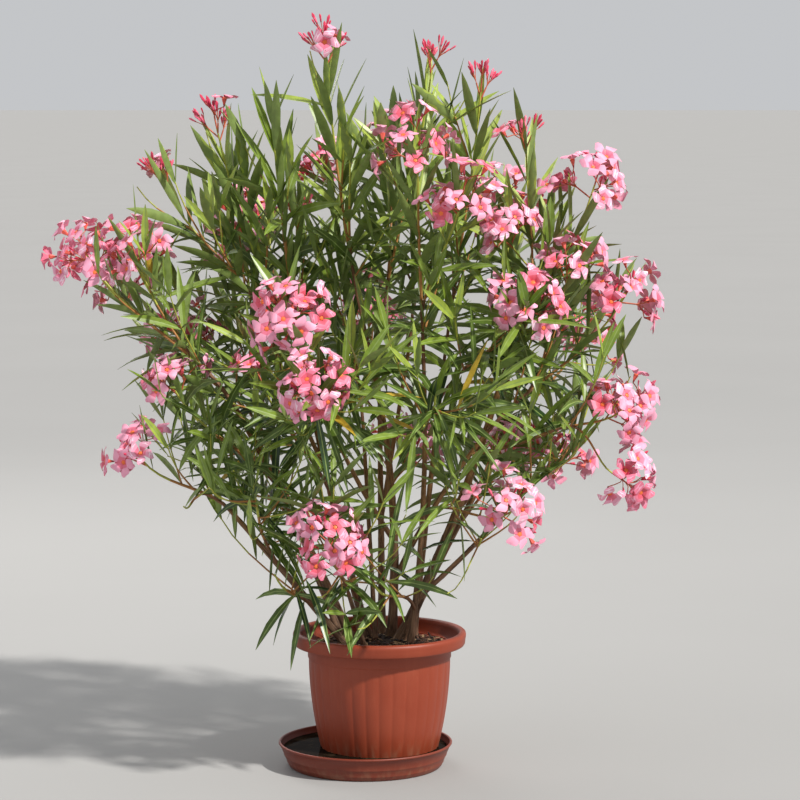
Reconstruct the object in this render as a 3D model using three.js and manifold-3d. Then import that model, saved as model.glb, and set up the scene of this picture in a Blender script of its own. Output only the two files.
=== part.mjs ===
// Oleander in a plastic pot that stands in a saucer.
// Millimetres. The origin is the centre of the saucer's flat underside, +Z is up, +X is to the right of
// the front view and +Y points away from it.
// Each stem and bough is one tapering limb. Each foliage mass is one shoot that starts from a limb,
// branches by a seeded rule, and carries whorls of narrow leaves and flower heads fused on to it.
import * as THREE from 'three';
import Module from 'manifold-3d';

const wasm = await Module();
wasm.setup();

// Clearance between pieces that meet.
const GAP = 0.3;

// Saucer
const SAUCER_RIM_DIAMETER = 381;
const SAUCER_BASE_DIAMETER = 334;
const SAUCER_HEIGHT = 54;
const SAUCER_WALL = 3.5;
const SAUCER_FLOOR = 4.5;
const SAUCER_LIP = 6;
const SAUCER_SEGMENTS = 32;

// Pot, which stands a little off the saucer's centre
const POT_CENTRE = new THREE.Vector2(31, 15);
const POT_BASE_Z = SAUCER_FLOOR + GAP;
const POT_TOP_Z = 296;
const POT_RIM_DIAMETER = 380;
const POT_RIM_HEIGHT = 30;
const POT_NECK_DIAMETER = 315;
const POT_BASE_DIAMETER = 242;
const POT_WALL = 4;
const POT_GROOVE_BELOW_RIM = 28;
const POT_GROOVE_STEP = 2;
const POT_BOW = 2.2;
const POT_BASE_ROUNDING = 10;
const POT_SEGMENTS = 32;

// Compost that fills the pot
const SOIL_TOP_Z = 265;
const SOIL_MOUND = 4;
const SOIL_SEGMENTS = 24;

// Limbs
const LIMB_SIDES = 6;
const LIMB_STEPS = 5;
const FLARE = 1.35;
const FLARE_SHARE = 0.12;

// Shoots of the foliage masses
const SHOOT_SIDES = 3;
const SHOOT_SIZES = {
  leader: { base: 5.5, tip: 3, steps: 3 },
  branch: { base: 2.6, tip: 2.4, steps: 2 },
  twig: { base: 2.3, tip: 2.2, steps: 2 },
};
const SHOOT_REACH = 0.35;
const SHOOT_UPTURN = 0.6;
const SIDE_START = { along: 0.6, straight: 0.8 };
const HEAD_FORK = { first: 0.3, step: 0.15, along: 0.5, straight: 0.6 };
const TWIG_LONGEST = 230;
const TWIG_SHORTEST = 120;
const TWIG_LENGTH_VARIES = 0.2;
const TWIG_FIRST = 0.18;
const TWIG_RANGE = 0.7;
const TWIG_SPREAD_DEGREES = { low: 50, high: 30 };
const TWIG_SPREAD_VARIES = 11;
const TWIG_LIFT = 0.15;
const GOLDEN_ANGLE = Math.PI * (3 - Math.sqrt(5));

// Leaves, in whorls of three
const LEAF_LENGTH = 160;
const LEAF_LENGTH_VARIES = 0.155;
const LEAF_WIDTH = 28;
const LEAF_KEEL = 2.6;
const LEAF_WIDEST = 0.42;
const LEAVES_IN_WHORL = 3;
const LEAF_STAGGER = 4;
const WHORL_STEP = 146;
const WHORL_BARE_SHARE = 0.22;
const WHORL_LAST_SHARE = 0.97;
const LEAF_ANGLE_FOOT = { low: 86, high: 46 };
const LEAF_ANGLE_TIP = { low: 32, high: 16 };
const LEAF_ANGLE_VARIES = 8;
const LEAF_DROOP_FOOT = { low: 0.9, high: 0.25 };
const LEAF_DROOP_TIP = { low: 0.2, high: 0.04 };
const LEAF_DROOP_VARIES = 0.4;
const LEAF_NECK_SHARE = 0.3;

// Flower heads
const BLOOM_RADIUS = 30;
const BLOOM_REACH = 78;
const BLOOM_REACH_VARIES = 0.15;
const BLOOM_THROAT = 0.45;
const BLOOM_RING_DEGREES = { few: 42, many: 68 };
const BLOOMS_IN_RING_ALONE = 3;
const BUD_FAN_SHARE = 0.55;
const BLOOM_SPACING = 9;
const BLOOM_FIRST = 2;
const BUD_RADIUS = 8;
const BUD_REACH = 72;
const PETALS = 5;

// Room that each piece of foliage keeps from the limbs and from other masses, and between the
// midlines of its own mass, where only a share of each piece's width counts
const ROOM = 2.5;
const ROOM_WITHIN_MASS = 2;
const WIDTH_SHARE_WITHIN_MASS = 0.8;
const RIM_ROOM = 8;
const LOWEST_LEAF_Z = 215;

// Outline of the crown, which narrows by the square of the height off its widest part, but below
// that no further than to its skirt
const CROWN_WIDEST_Z = 1080;
const CROWN_HEIGHT = { above: 560, below: 760 };
const CROWN_HALF_WIDTH = 545;
const CROWN_HALF_DEPTH = 560;
const CROWN_FULLNESS = 1.13;
const CROWN_SKIRT = 0.5;
const CROWN_LEAN = 5;

// Between these heights the habit goes from that of the low crown, where twigs and leaves spread, to
// that of the high crown, where they rise steeply. Sizes named low and high are for the two ends.
const LOW_CROWN_Z = 650;
const HIGH_CROWN_Z = 1250;

// Stems that rise from the compost. foot and tip are places, bow is how far the middle stands off the
// straight line, radii are at the foot and at the tip.
const STEMS = {
  stem_right: { foot: [74, 68], tip: [297, 0, 849], bow: [14, 0, 0], radii: [12.5, 6] },
  stem_centre: { foot: [56, 112], tip: [8, 60, 914], bow: [26, -8, 0], radii: [11, 5] },
  stem_front: { foot: [98, 20], tip: [128, -60, 855], bow: [12, 6, 0], radii: [7, 4.5] },
  stem_inner: { foot: [106, 110], tip: [168, 84, 841], bow: [0, 12, 0], radii: [7.5, 4.5] },
  stem_left_low: { foot: [-40, 18], tip: [-291, -50, 571], bow: [6, 6, -6], radii: [8.5, 5] },
  stem_left_long: { foot: [-28, 60], tip: [-281, -20, 792], bow: [8, 4, 0], radii: [9.5, 5.5] },
  stem_left_dark: { foot: [6, 104], tip: [-125, 100, 817], bow: [-6, 4, 0], radii: [10, 6] },
  stem_thin: { foot: [22, 72], tip: [-6, 120, 740], bow: [0, 10, 0], radii: [5.5, 4] },
  stem_back_left: { foot: [-52, 92], tip: [-230, 240, 700], bow: [0, 10, -8], radii: [8, 5] },
  stem_back: { foot: [36, 148], tip: [30, 290, 760], bow: [0, 10, -8], radii: [9, 5] },
  stem_back_right: { foot: [84, 142], tip: [330, 230, 720], bow: [-10, 10, -8], radii: [8.5, 5] },
  stem_front_low: { foot: [0, -22], tip: [-34, -118, 400], bow: [0, 6, 0], radii: [6, 4.5] },
};

// Boughs that leave the side of a stem, at a share of the stem's length.
const BOUGHS = {
  bough_centre_left: { on: 'stem_centre', at: 0.34, tip: [-65, -120, 749], bow: [-8, 8, 0], radii: [6, 4] },
  bough_long_right: { on: 'stem_centre', at: 0.2, tip: [266, -34, 741], bow: [-14, 0, 0], radii: [6.5, 4.5] },
  bough_low_right: { on: 'stem_right', at: 0.19, tip: [341, -24, 609], bow: [4, 0, -6], radii: [6, 4] },
  bough_outer_right: {
    on: 'bough_long_right', at: 0.84, tip: [400, -66, 744], bow: [0, 0, -6], radii: [4.5, 3.6],
  },
  bough_left_high: { on: 'stem_left_dark', at: 0.68, tip: [-215, 70, 960], bow: [-6, 0, 0], radii: [5, 4] },
  bough_back_high: { on: 'stem_back', at: 0.5, tip: [96, 214, 900], bow: [0, 6, 0], radii: [5.5, 4] },
};

// Foliage masses. Each starts at a share of a limb's length, 1 being its tip, and is drawn out to the
// heads named here: where each stands, what it carries and how many. twigs is how many more it bears.
const MASSES = {
  foliage_right_crest: {
    on: 'stem_right', at: 1, twigs: 3,
    heads: [[495, 0, 1270, 'bloom', 4], [350, 60, 1350, 'bud', 3], [310, -40, 1155, 'bloom', 3]],
  },
  foliage_right_arm: {
    on: 'bough_long_right', at: 1, twigs: 3,
    heads: [[556, -50, 1030, 'bloom', 4], [433, -100, 1085, 'bloom', 3]],
  },
  foliage_right_front: {
    on: 'stem_inner', at: 0.92, twigs: 3,
    heads: [[350, -170, 1020, 'bloom', 5]],
  },
  foliage_right_outer: {
    on: 'bough_outer_right', at: 1, twigs: 3,
    heads: [[560, -100, 800, 'bloom', 6], [540, -150, 660, 'bloom', 3]],
  },
  foliage_right_low: {
    on: 'bough_low_right', at: 1, twigs: 3,
    heads: [[453, -60, 700, 'leaf', 0], [430, 80, 655, 'bloom', 3]],
  },
  foliage_right_inner: {
    on: 'stem_right', at: 0.5, twigs: 2,
    heads: [[320, 90, 680, 'bloom', 3]],
  },
  foliage_right_under: {
    on: 'stem_front', at: 0.5, twigs: 2,
    heads: [[312, -200, 590, 'bloom', 4]],
  },
  foliage_front_crest: {
    on: 'stem_front', at: 1, twigs: 3,
    heads: [[110, -130, 1350, 'bloom', 4], [205, -210, 1250, 'bloom', 5]],
  },
  foliage_front_middle: {
    on: 'stem_front', at: 0.78, twigs: 3,
    heads: [[150, -300, 850, 'leaf', 0]],
  },
  foliage_inner_top: {
    on: 'stem_inner', at: 1, twigs: 3,
    heads: [[250, 30, 1470, 'bud', 3], [190, 140, 1130, 'leaf', 0]],
  },
  foliage_centre_top: {
    on: 'stem_centre', at: 1, twigs: 3,
    heads: [[-85, 0, 1555, 'bud', 4], [-30, -90, 1330, 'leaf', 0]],
  },
  foliage_centre_crest: {
    on: 'stem_centre', at: 0.88, twigs: 3,
    heads: [[145, 80, 1520, 'bud', 3], [60, 170, 1380, 'leaf', 0]],
  },
  foliage_centre_left: {
    on: 'bough_centre_left', at: 1, twigs: 3,
    heads: [[-96, -380, 870, 'bloom', 6]],
  },
  foliage_front_upper: {
    on: 'stem_centre', at: 0.72, twigs: 3,
    heads: [[-160, -330, 1010, 'bloom', 6]],
  },
  foliage_left_low: {
    on: 'stem_left_low', at: 1, twigs: 3,
    heads: [[-475, -120, 690, 'bloom', 3], [-380, -200, 600, 'leaf', 0]],
  },
  foliage_left_middle: {
    on: 'stem_left_long', at: 0.66, twigs: 3,
    heads: [[-405, -90, 835, 'bloom', 3]],
  },
  foliage_left_long: {
    on: 'stem_left_long', at: 1, twigs: 3,
    heads: [[-600, 0, 1120, 'bloom', 5], [-490, -50, 1120, 'bloom', 4], [-530, 90, 1030, 'bloom', 3]],
  },
  foliage_left_inner: {
    on: 'bough_left_high', at: 0.5, twigs: 2,
    heads: [[-370, 180, 910, 'bloom', 3]],
  },
  foliage_left_front: {
    on: 'stem_left_dark', at: 0.58, twigs: 3,
    heads: [[-220, -60, 850, 'bud', 2]],
  },
  foliage_left_crown: {
    on: 'stem_left_dark', at: 1, twigs: 3,
    heads: [[-200, 20, 1420, 'leaf', 0], [-150, 90, 1180, 'bud', 2]],
  },
  foliage_left_top: {
    on: 'stem_left_dark', at: 0.86, twigs: 3,
    heads: [[-325, 120, 1390, 'bud', 4], [-275, 210, 1110, 'bloom', 3]],
  },
  foliage_left_shoulder: {
    on: 'bough_left_high', at: 1, twigs: 3,
    heads: [[-440, 90, 1270, 'bud', 3], [-330, 0, 1180, 'leaf', 0]],
  },
  foliage_front_low: {
    on: 'stem_front_low', at: 1, twigs: 4,
    heads: [[-72, -318, 548, 'bloom', 5]],
  },
  foliage_front_left: {
    on: 'stem_left_low', at: 0.6, twigs: 3,
    heads: [[-230, -240, 650, 'leaf', 0]],
  },
  foliage_heart: {
    on: 'stem_thin', at: 1, twigs: 3,
    heads: [[-60, 190, 1120, 'leaf', 0]],
  },
  foliage_back_left: {
    on: 'stem_back_left', at: 1, twigs: 3,
    heads: [[-430, 290, 900, 'bloom', 3], [-250, 430, 860, 'leaf', 0]],
  },
  foliage_back_left_high: {
    on: 'stem_back_left', at: 0.85, twigs: 3,
    heads: [[-280, 320, 1190, 'bloom', 4]],
  },
  foliage_back: {
    on: 'stem_back', at: 1, twigs: 3,
    heads: [[0, 470, 960, 'bloom', 5]],
  },
  foliage_back_high: {
    on: 'bough_back_high', at: 1, twigs: 3,
    heads: [[90, 280, 1370, 'bloom', 4], [-90, 330, 1280, 'bloom', 3]],
  },
  foliage_back_right: {
    on: 'stem_back_right', at: 1, twigs: 3,
    heads: [[490, 270, 920, 'bloom', 4], [360, 400, 900, 'leaf', 0]],
  },
  foliage_back_right_high: {
    on: 'stem_back_right', at: 0.86, twigs: 3,
    heads: [[320, 270, 1210, 'bloom', 4]],
  },
  foliage_back_low: {
    on: 'stem_back', at: 0.55, twigs: 3,
    heads: [[90, 350, 640, 'bloom', 3]],
  },
  foliage_back_low_left: {
    on: 'stem_back_left', at: 0.55, twigs: 3,
    heads: [[-260, 260, 610, 'leaf', 0]],
  },
  foliage_back_low_right: {
    on: 'stem_back_right', at: 0.5, twigs: 3,
    heads: [[310, 260, 640, 'bloom', 3]],
  },
  foliage_low_left: {
    on: 'stem_left_low', at: 0.28, twigs: 3,
    heads: [[-190, -170, 450, 'leaf', 0]],
  },
  foliage_low_middle: {
    on: 'stem_left_dark', at: 0.16, twigs: 3,
    heads: [[-60, -150, 470, 'leaf', 0]],
  },
  foliage_low_front: {
    on: 'stem_front', at: 0.14, twigs: 2,
    heads: [[20, -220, 440, 'leaf', 0]],
  },
  foliage_low_right: {
    on: 'bough_low_right', at: 0.45, twigs: 2,
    heads: [[250, -120, 520, 'leaf', 0]],
  },
};

// Finishes
const FINISHES = {
  saucer: { color: 0x8f4a33, roughness: 0.45, metalness: 0 },
  pot: { color: 0xaa583c, roughness: 0.5, metalness: 0 },
  soil: { color: 0x2b1d14, roughness: 0.95, metalness: 0 },
  bark: { color: 0x6b5444, roughness: 0.85, metalness: 0 },
  foliage: { color: 0x3f6b3a, roughness: 0.55, metalness: 0 },
};

const UP = new THREE.Vector3(0, 0, 1);
const toRadians = THREE.MathUtils.degToRad;
const mix = THREE.MathUtils.lerp;
const at = (start, direction, distance) => start.clone().addScaledVector(direction, distance);
const around = (draw, spread) => (2 * draw - 1) * spread;

// A size that goes from its low to its high value over the height of the crown.
function byHeight({ low, high }, z) {
  return mix(low, high, THREE.MathUtils.clamp((z - LOW_CROWN_Z) / (HIGH_CROWN_Z - LOW_CROWN_Z), 0, 1));
}

// A stream of numbers from 0 to 1, the same for the same seed.
function seededStream(seed) {
  let state = seed >>> 0;
  return () => {
    state = (state + 0x6d2b79f5) >>> 0;
    let bits = Math.imul(state ^ (state >>> 15), state | 1);
    bits ^= bits + Math.imul(bits ^ (bits >>> 7), bits | 61);
    return ((bits ^ (bits >>> 14)) >>> 0) / 4294967296;
  };
}

// A closed mesh from its corners and faces, turned so that the faces point out.
function closedSolid(corners, faces) {
  const volume = faces.reduce(
    (sum, [a, b, c]) => sum + corners[a].dot(corners[b].clone().cross(corners[c])), 0);
  const turned = volume < 0 ? faces.map(([a, b, c]) => [a, c, b]) : faces;
  return new wasm.Manifold(new wasm.Mesh({
    numProp: 3,
    vertProperties: new Float32Array(corners.flatMap((corner) => corner.toArray())),
    triVerts: new Uint32Array(turned.flat()),
  }));
}

function largestBody(solid) {
  return solid.decompose().reduce((best, body) => (body.volume() > best.volume() ? body : best));
}

function geometryOf(solid) {
  const mesh = solid.getMesh();
  const geometry = new THREE.BufferGeometry();
  geometry.setAttribute('position', new THREE.BufferAttribute(new Float32Array(mesh.vertProperties), 3));
  geometry.setIndex(new THREE.BufferAttribute(new Uint32Array(mesh.triVerts), 1));
  geometry.computeVertexNormals();
  return geometry;
}

const group = new THREE.Group();

function addPiece(name, geometry, finish) {
  const mesh = new THREE.Mesh(geometry, new THREE.MeshStandardMaterial(FINISHES[finish]));
  mesh.name = name;
  group.add(mesh);
  return mesh;
}

// A turned shape about the upright axis. The profile is radius and height, from the axis to the axis.
function turned(profile, segments) {
  const geometry = new THREE.LatheGeometry(profile.map(([r, z]) => new THREE.Vector2(r, z)), segments);
  geometry.rotateX(Math.PI / 2);
  geometry.deleteAttribute('uv');
  geometry.deleteAttribute('normal');
  return geometry;
}

// Saucer: a shallow dish with a flared wall and a thick rounded lip.
function saucerProfile() {
  const base = SAUCER_BASE_DIAMETER / 2;
  const rim = SAUCER_RIM_DIAMETER / 2;
  const shoulder = SAUCER_HEIGHT - SAUCER_LIP;
  const lip = Array.from({ length: 3 }, (_, step) => {
    const turn = (step / 2) * Math.PI;
    return [rim - SAUCER_LIP / 2 + Math.cos(turn) * SAUCER_LIP / 2,
      shoulder + SAUCER_LIP / 2 + Math.sin(turn) * SAUCER_LIP / 2];
  });
  return [
    [0, 0], [base - 4, 0], [base, 3], [rim - SAUCER_LIP / 2, shoulder], [rim, shoulder],
    ...lip,
    [rim - SAUCER_LIP, shoulder], [base + 2 - SAUCER_WALL, SAUCER_FLOOR + 4],
    [base - SAUCER_WALL - 2, SAUCER_FLOOR], [0, SAUCER_FLOOR],
  ];
}

// Outer radius of the pot's wall, which narrows from the neck under the rim, slowly at first.
function potWallRadius(z) {
  const neckZ = POT_TOP_Z - POT_RIM_HEIGHT;
  const share = THREE.MathUtils.clamp((z - POT_BASE_Z) / (neckZ - POT_BASE_Z), 0, 1);
  return mix(POT_NECK_DIAMETER, POT_BASE_DIAMETER, (1 - share) ** POT_BOW) / 2;
}

// Pot: bowed wall, a fine step below the rim, and a thick rolled rim.
function potProfile() {
  const neckZ = POT_TOP_Z - POT_RIM_HEIGHT;
  const grooveZ = neckZ - POT_GROOVE_BELOW_RIM;
  const rim = POT_RIM_DIAMETER / 2;
  const edge = POT_BASE_ROUNDING;
  const wallHeights = [edge, 60, 140].map((height) => POT_BASE_Z + height);
  const outer = [
    [0, POT_BASE_Z], [POT_BASE_DIAMETER / 2 - edge, POT_BASE_Z],
    ...wallHeights.map((z) => [potWallRadius(z) - POT_GROOVE_STEP, z]),
    [potWallRadius(grooveZ) - POT_GROOVE_STEP, grooveZ], [potWallRadius(grooveZ), grooveZ + 2],
    [potWallRadius(neckZ), neckZ],
  ];
  const rolledRim = [
    [rim - 8, neckZ], [rim - 2, neckZ + 4], [rim, POT_TOP_Z - 8], [rim - 3, POT_TOP_Z - 2],
    [rim - 9, POT_TOP_Z], [rim - 15, POT_TOP_Z - 3], [rim - 18, POT_TOP_Z - 10],
  ];
  const inner = [
    [potWallRadius(neckZ) - POT_WALL, neckZ - 4],
    ...wallHeights.toReversed().map((z) => [potWallRadius(z) - POT_GROOVE_STEP - POT_WALL, z]),
    [POT_BASE_DIAMETER / 2 - edge - POT_WALL, POT_BASE_Z + POT_WALL], [0, POT_BASE_Z + POT_WALL],
  ];
  return [...outer, ...rolledRim, ...inner];
}

// Compost: fills the pot up to a slight mound, clear of the wall.
function soilProfile() {
  const inset = POT_GROOVE_STEP + POT_WALL + GAP + 0.4;
  const floor = POT_BASE_Z + POT_WALL + GAP;
  const heights = [POT_BASE_ROUNDING, 60, 140].map((height) => POT_BASE_Z + height);
  const wall = heights.map((z) => [potWallRadius(z) - inset, z]);
  return [
    [0, floor], [POT_BASE_DIAMETER / 2 - POT_BASE_ROUNDING - inset, floor],
    ...wall,
    [potWallRadius(SOIL_TOP_Z) - inset - 3, SOIL_TOP_Z - SOIL_MOUND],
    [potWallRadius(SOIL_TOP_Z) - inset - 22, SOIL_TOP_Z], [0, SOIL_TOP_Z],
  ];
}

// Two directions square to a line, worked out the same way everywhere.
function crossAxes(tangent) {
  const level = Math.abs(tangent.z) < 0.98 ? UP : new THREE.Vector3(1, 0, 0);
  const side = new THREE.Vector3().crossVectors(tangent, level).normalize();
  return [side, new THREE.Vector3().crossVectors(side, tangent).normalize()];
}

// A tapering round rod along a curve, closed at both ends. radiusAt gives the radius at a share of the
// length. A level foot makes the first ring lie flat.
function taperedRod(curve, radiusAt, sides, steps, levelFoot = false) {
  const frames = curve.computeFrenetFrames(steps);
  const corners = [];
  for (let step = 0; step <= steps; step += 1) {
    const share = step / steps;
    const centre = curve.getPointAt(share);
    const radius = radiusAt(share);
    for (let side = 0; side < sides; side += 1) {
      const turn = (side / sides) * 2 * Math.PI;
      const corner = at(at(centre, frames.normals[step], Math.cos(turn) * radius),
        frames.binormals[step], Math.sin(turn) * radius);
      if (levelFoot && step === 0) corner.z = centre.z;
      corners.push(corner);
    }
  }
  const faces = [];
  for (let step = 0; step < steps; step += 1) {
    for (let side = 0; side < sides; side += 1) {
      const low = step * sides;
      const next = (side + 1) % sides;
      faces.push([low + side, low + next, low + sides + next]);
      faces.push([low + side, low + sides + next, low + sides + side]);
    }
  }
  for (let side = 1; side < sides - 1; side += 1) {
    const top = steps * sides;
    faces.push([0, side + 1, side], [top, top + side, top + side + 1]);
  }
  return closedSolid(corners, faces);
}

// The curve of a limb: from its start to its tip, with its middle pushed off the straight line by bow.
function limbCurve(start, tip, bow) {
  const middle = start.clone().add(tip).multiplyScalar(0.5).add(bow.clone().multiplyScalar(2));
  return new THREE.QuadraticBezierCurve3(start, middle, tip);
}

const limbs = {};

function limbRadius(limb, share) {
  const [foot, tip] = limb.radii;
  const plain = mix(foot, tip, share);
  if (!limb.rooted) return plain;
  const flare = Math.max(0, 1 - share / FLARE_SHARE) ** 2;
  return plain * (1 + (FLARE - 1) * flare);
}

function limbSolid(limb, extra = 0) {
  const radiusAt = (share) => limbRadius(limb, share) + extra;
  return taperedRod(limb.curve, radiusAt, LIMB_SIDES, LIMB_STEPS, limb.rooted);
}

function growLimbs() {
  for (const [name, { foot, tip, bow, radii }] of Object.entries(STEMS)) {
    const start = new THREE.Vector3(...foot, SOIL_TOP_Z + GAP);
    const curve = limbCurve(start, new THREE.Vector3(...tip), new THREE.Vector3(...bow));
    limbs[name] = { name, curve, radii, rooted: true };
  }
  for (const [name, { on, at: share, tip, bow, radii }] of Object.entries(BOUGHS)) {
    const start = limbs[on].curve.getPointAt(share);
    const curve = limbCurve(start, new THREE.Vector3(...tip), new THREE.Vector3(...bow));
    limbs[name] = { name, curve, radii, rooted: false, parent: on };
  }
  for (const limb of Object.values(limbs)) {
    const whole = limbSolid(limb);
    limb.solid = limb.parent ? largestBody(whole.subtract(limbSolid(limbs[limb.parent], GAP))) : whole;
  }
}

// Room keeping. Everything placed is remembered as a straight stretch with a radius at each end.
const placed = [];

function closestApproach(first, second, widthShare) {
  const along = first.end.clone().sub(first.start);
  const across = second.end.clone().sub(second.start);
  const between = first.start.clone().sub(second.start);
  const a = along.dot(along);
  const b = along.dot(across);
  const c = across.dot(across);
  const d = along.dot(between);
  const e = across.dot(between);
  const spread = a * c - b * b;
  let s = spread > 1e-6 ? THREE.MathUtils.clamp((b * e - c * d) / spread, 0, 1) : 0;
  const t = THREE.MathUtils.clamp((b * s + e) / c, 0, 1);
  s = THREE.MathUtils.clamp((b * t - d) / a, 0, 1);
  const distance = at(first.start, along, s).distanceTo(at(second.start, across, t));
  const widths = mix(first.startRadius, first.endRadius, s) + mix(second.startRadius, second.endRadius, t);
  return distance - widths * widthShare;
}

// base is the shoot or the whorl that a stretch grows from or belongs to.
function stretch(owner, base, start, end, startRadius, endRadius) {
  const centre = start.clone().add(end).multiplyScalar(0.5);
  const reach = start.distanceTo(end) / 2 + Math.max(startRadius, endRadius);
  return { owner, base, start, end, startRadius, endRadius, centre, reach };
}

// Whether a stretch keeps its room from all that is placed. It may meet what shares one of its bases.
function isFree(candidate, bases) {
  return placed.every((other) => {
    if (bases.includes(other.base)) return true;
    if (candidate.centre.distanceTo(other.centre) > candidate.reach + other.reach + ROOM) return true;
    const isOwn = candidate.owner === other.owner;
    return isOwn ? closestApproach(candidate, other, WIDTH_SHARE_WITHIN_MASS) > ROOM_WITHIN_MASS
      : closestApproach(candidate, other, 1) > ROOM;
  });
}

// Whether a stretch stays out of the pot and off the ground.
function clearsPot(point, radius) {
  const fromAxis = Math.hypot(point.x - POT_CENTRE.x, point.y - POT_CENTRE.y);
  if (point.z - radius < LOWEST_LEAF_Z) return false;
  const overSoil = fromAxis + radius < POT_RIM_DIAMETER / 2 - 24;
  if (overSoil) return point.z - radius > SOIL_TOP_Z + RIM_ROOM;
  const outside = fromAxis - radius > POT_RIM_DIAMETER / 2 + RIM_ROOM;
  return outside || point.z - radius > POT_TOP_Z + RIM_ROOM;
}

function insideCrown({ x, y, z }) {
  const isAbove = z > CROWN_WIDEST_Z;
  const height = (z - CROWN_WIDEST_Z) / (isAbove ? CROWN_HEIGHT.above : CROWN_HEIGHT.below);
  const spread = Math.hypot((x - CROWN_LEAN) / CROWN_HALF_WIDTH, y / CROWN_HALF_DEPTH);
  return spread < Math.max(CROWN_FULLNESS - height ** 2, isAbove ? 0 : CROWN_SKIRT);
}

function hasRoom(stretches, bases) {
  return stretches.every((piece) => clearsPot(piece.end, piece.endRadius)
    && clearsPot(piece.centre, Math.min(piece.startRadius, piece.endRadius))
    && isFree(piece, bases));
}

function stretchesOf(owner, base, curve, radiusAt, steps) {
  return Array.from({ length: steps }, (_, step) => {
    const [low, high] = [step / steps, (step + 1) / steps];
    const [start, end] = [curve.getPointAt(low), curve.getPointAt(high)];
    return stretch(owner, base, start, end, radiusAt(low), radiusAt(high));
  });
}

// A shoot leaves its parent along a given direction and turns up towards its end.
function shootCurve(start, leaving, end) {
  const distance = start.distanceTo(end);
  const straight = end.clone().sub(start).normalize();
  const arriving = straight.addScaledVector(UP, SHOOT_UPTURN).normalize();
  return new THREE.CubicBezierCurve3(start, at(start, leaving, distance * SHOOT_REACH),
    at(end, arriving, -distance * SHOOT_REACH), end);
}

// A shoot is a few straight lengths along its curve. pointAt and tangentAt follow those, so that what
// grows from the shoot is rooted inside it.
function makeShoot(mass, size, curve, head = null) {
  const { base, tip, steps } = SHOOT_SIZES[size];
  const joints = Array.from({ length: steps + 1 }, (_, step) => curve.getPointAt(step / steps));
  const lengthOf = (share) => Math.min(steps - 1, Math.floor(share * steps));
  const shoot = {
    curve, head, steps,
    length: curve.getLength(),
    radiusAt: (share) => mix(base, tip, share),
    pointAt: (share) => joints[lengthOf(share)].clone()
      .lerp(joints[lengthOf(share) + 1], share * steps - lengthOf(share)),
    tangentAt: (share) => joints[lengthOf(share) + 1].clone().sub(joints[lengthOf(share)]).normalize(),
  };
  shoot.stretches = stretchesOf(mass.name, curve, curve, shoot.radiusAt, steps);
  return shoot;
}

// The leader and the named heads of a mass.
function growHeads(mass) {
  const limb = limbs[mass.on];
  const isTip = mass.at === 1;
  const along = limb.curve.getTangentAt(mass.at);
  const foot = limb.curve.getPointAt(mass.at);
  const start = isTip ? at(foot, along, GAP) : foot;
  const [first, ...others] = mass.heads;
  const end = new THREE.Vector3(...first);
  const straight = end.clone().sub(start).normalize();
  const aside = at(along.clone().multiplyScalar(SIDE_START.along), straight, SIDE_START.straight).normalize();
  const leaving = isTip ? along : aside;
  mass.leader = makeShoot(mass, 'leader', shootCurve(start, leaving, end), first);
  mass.shoots = [mass.leader];
  others.forEach((head, order) => {
    const share = HEAD_FORK.first + HEAD_FORK.step * order;
    const fork = mass.leader.pointAt(share);
    const target = new THREE.Vector3(...head);
    const towards = target.clone().sub(fork).normalize();
    const ahead = mass.leader.tangentAt(share).multiplyScalar(HEAD_FORK.along);
    const away = at(ahead, towards, HEAD_FORK.straight).normalize();
    mass.shoots.push(makeShoot(mass, 'branch', shootCurve(fork, away, target), head));
  });
}

// More twigs off the leader, turned round it by the golden angle, shorter towards its end.
function growTwigs(mass) {
  for (let order = 0; order < mass.twigs; order += 1) {
    const [placeDraw, turnDraw, spreadDraw, lengthDraw] = Array.from({ length: 4 }, mass.random);
    const share = TWIG_FIRST + (TWIG_RANGE * (order + placeDraw)) / mass.twigs;
    const turn = order * GOLDEN_ANGLE + turnDraw;
    const fork = mass.leader.pointAt(share);
    const spread = toRadians(byHeight(TWIG_SPREAD_DEGREES, fork.z) + around(spreadDraw, TWIG_SPREAD_VARIES));
    const length = mix(TWIG_LONGEST, TWIG_SHORTEST, share) * (1 + around(lengthDraw, TWIG_LENGTH_VARIES));
    const tangent = mass.leader.tangentAt(share);
    const [side, other] = crossAxes(tangent);
    const outward = at(side.multiplyScalar(Math.cos(turn)), other, Math.sin(turn));
    const leaving = at(tangent.multiplyScalar(Math.cos(spread)), outward, Math.sin(spread)).normalize();
    const end = at(at(fork, leaving, length), UP, length * TWIG_LIFT);
    const twig = makeShoot(mass, 'twig', shootCurve(fork, leaving, end));
    const [inner, ...outer] = twig.stretches;
    if (insideCrown(end) && hasRoom([inner], [mass.leader.curve]) && hasRoom(outer, [])) {
      mass.shoots.push(twig);
      placed.push(...twig.stretches);
    }
  }
}

// One leaf: a narrow blade with a keel under it, widest before its middle and bent down there. Its root
// lies on the middle line of the shoot that bears it.
function leafSolid({ root, middle, end, side, normal }) {
  const half = LEAF_WIDTH / 2;
  const edges = [at(middle, side, half), at(middle, side, -half)];
  const corners = [root, ...edges, at(middle, normal, -LEAF_KEEL), end];
  return closedSolid(corners, [[0, 2, 1], [0, 3, 2], [0, 1, 3], [1, 2, 4], [2, 3, 4], [3, 1, 4]]);
}

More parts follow.
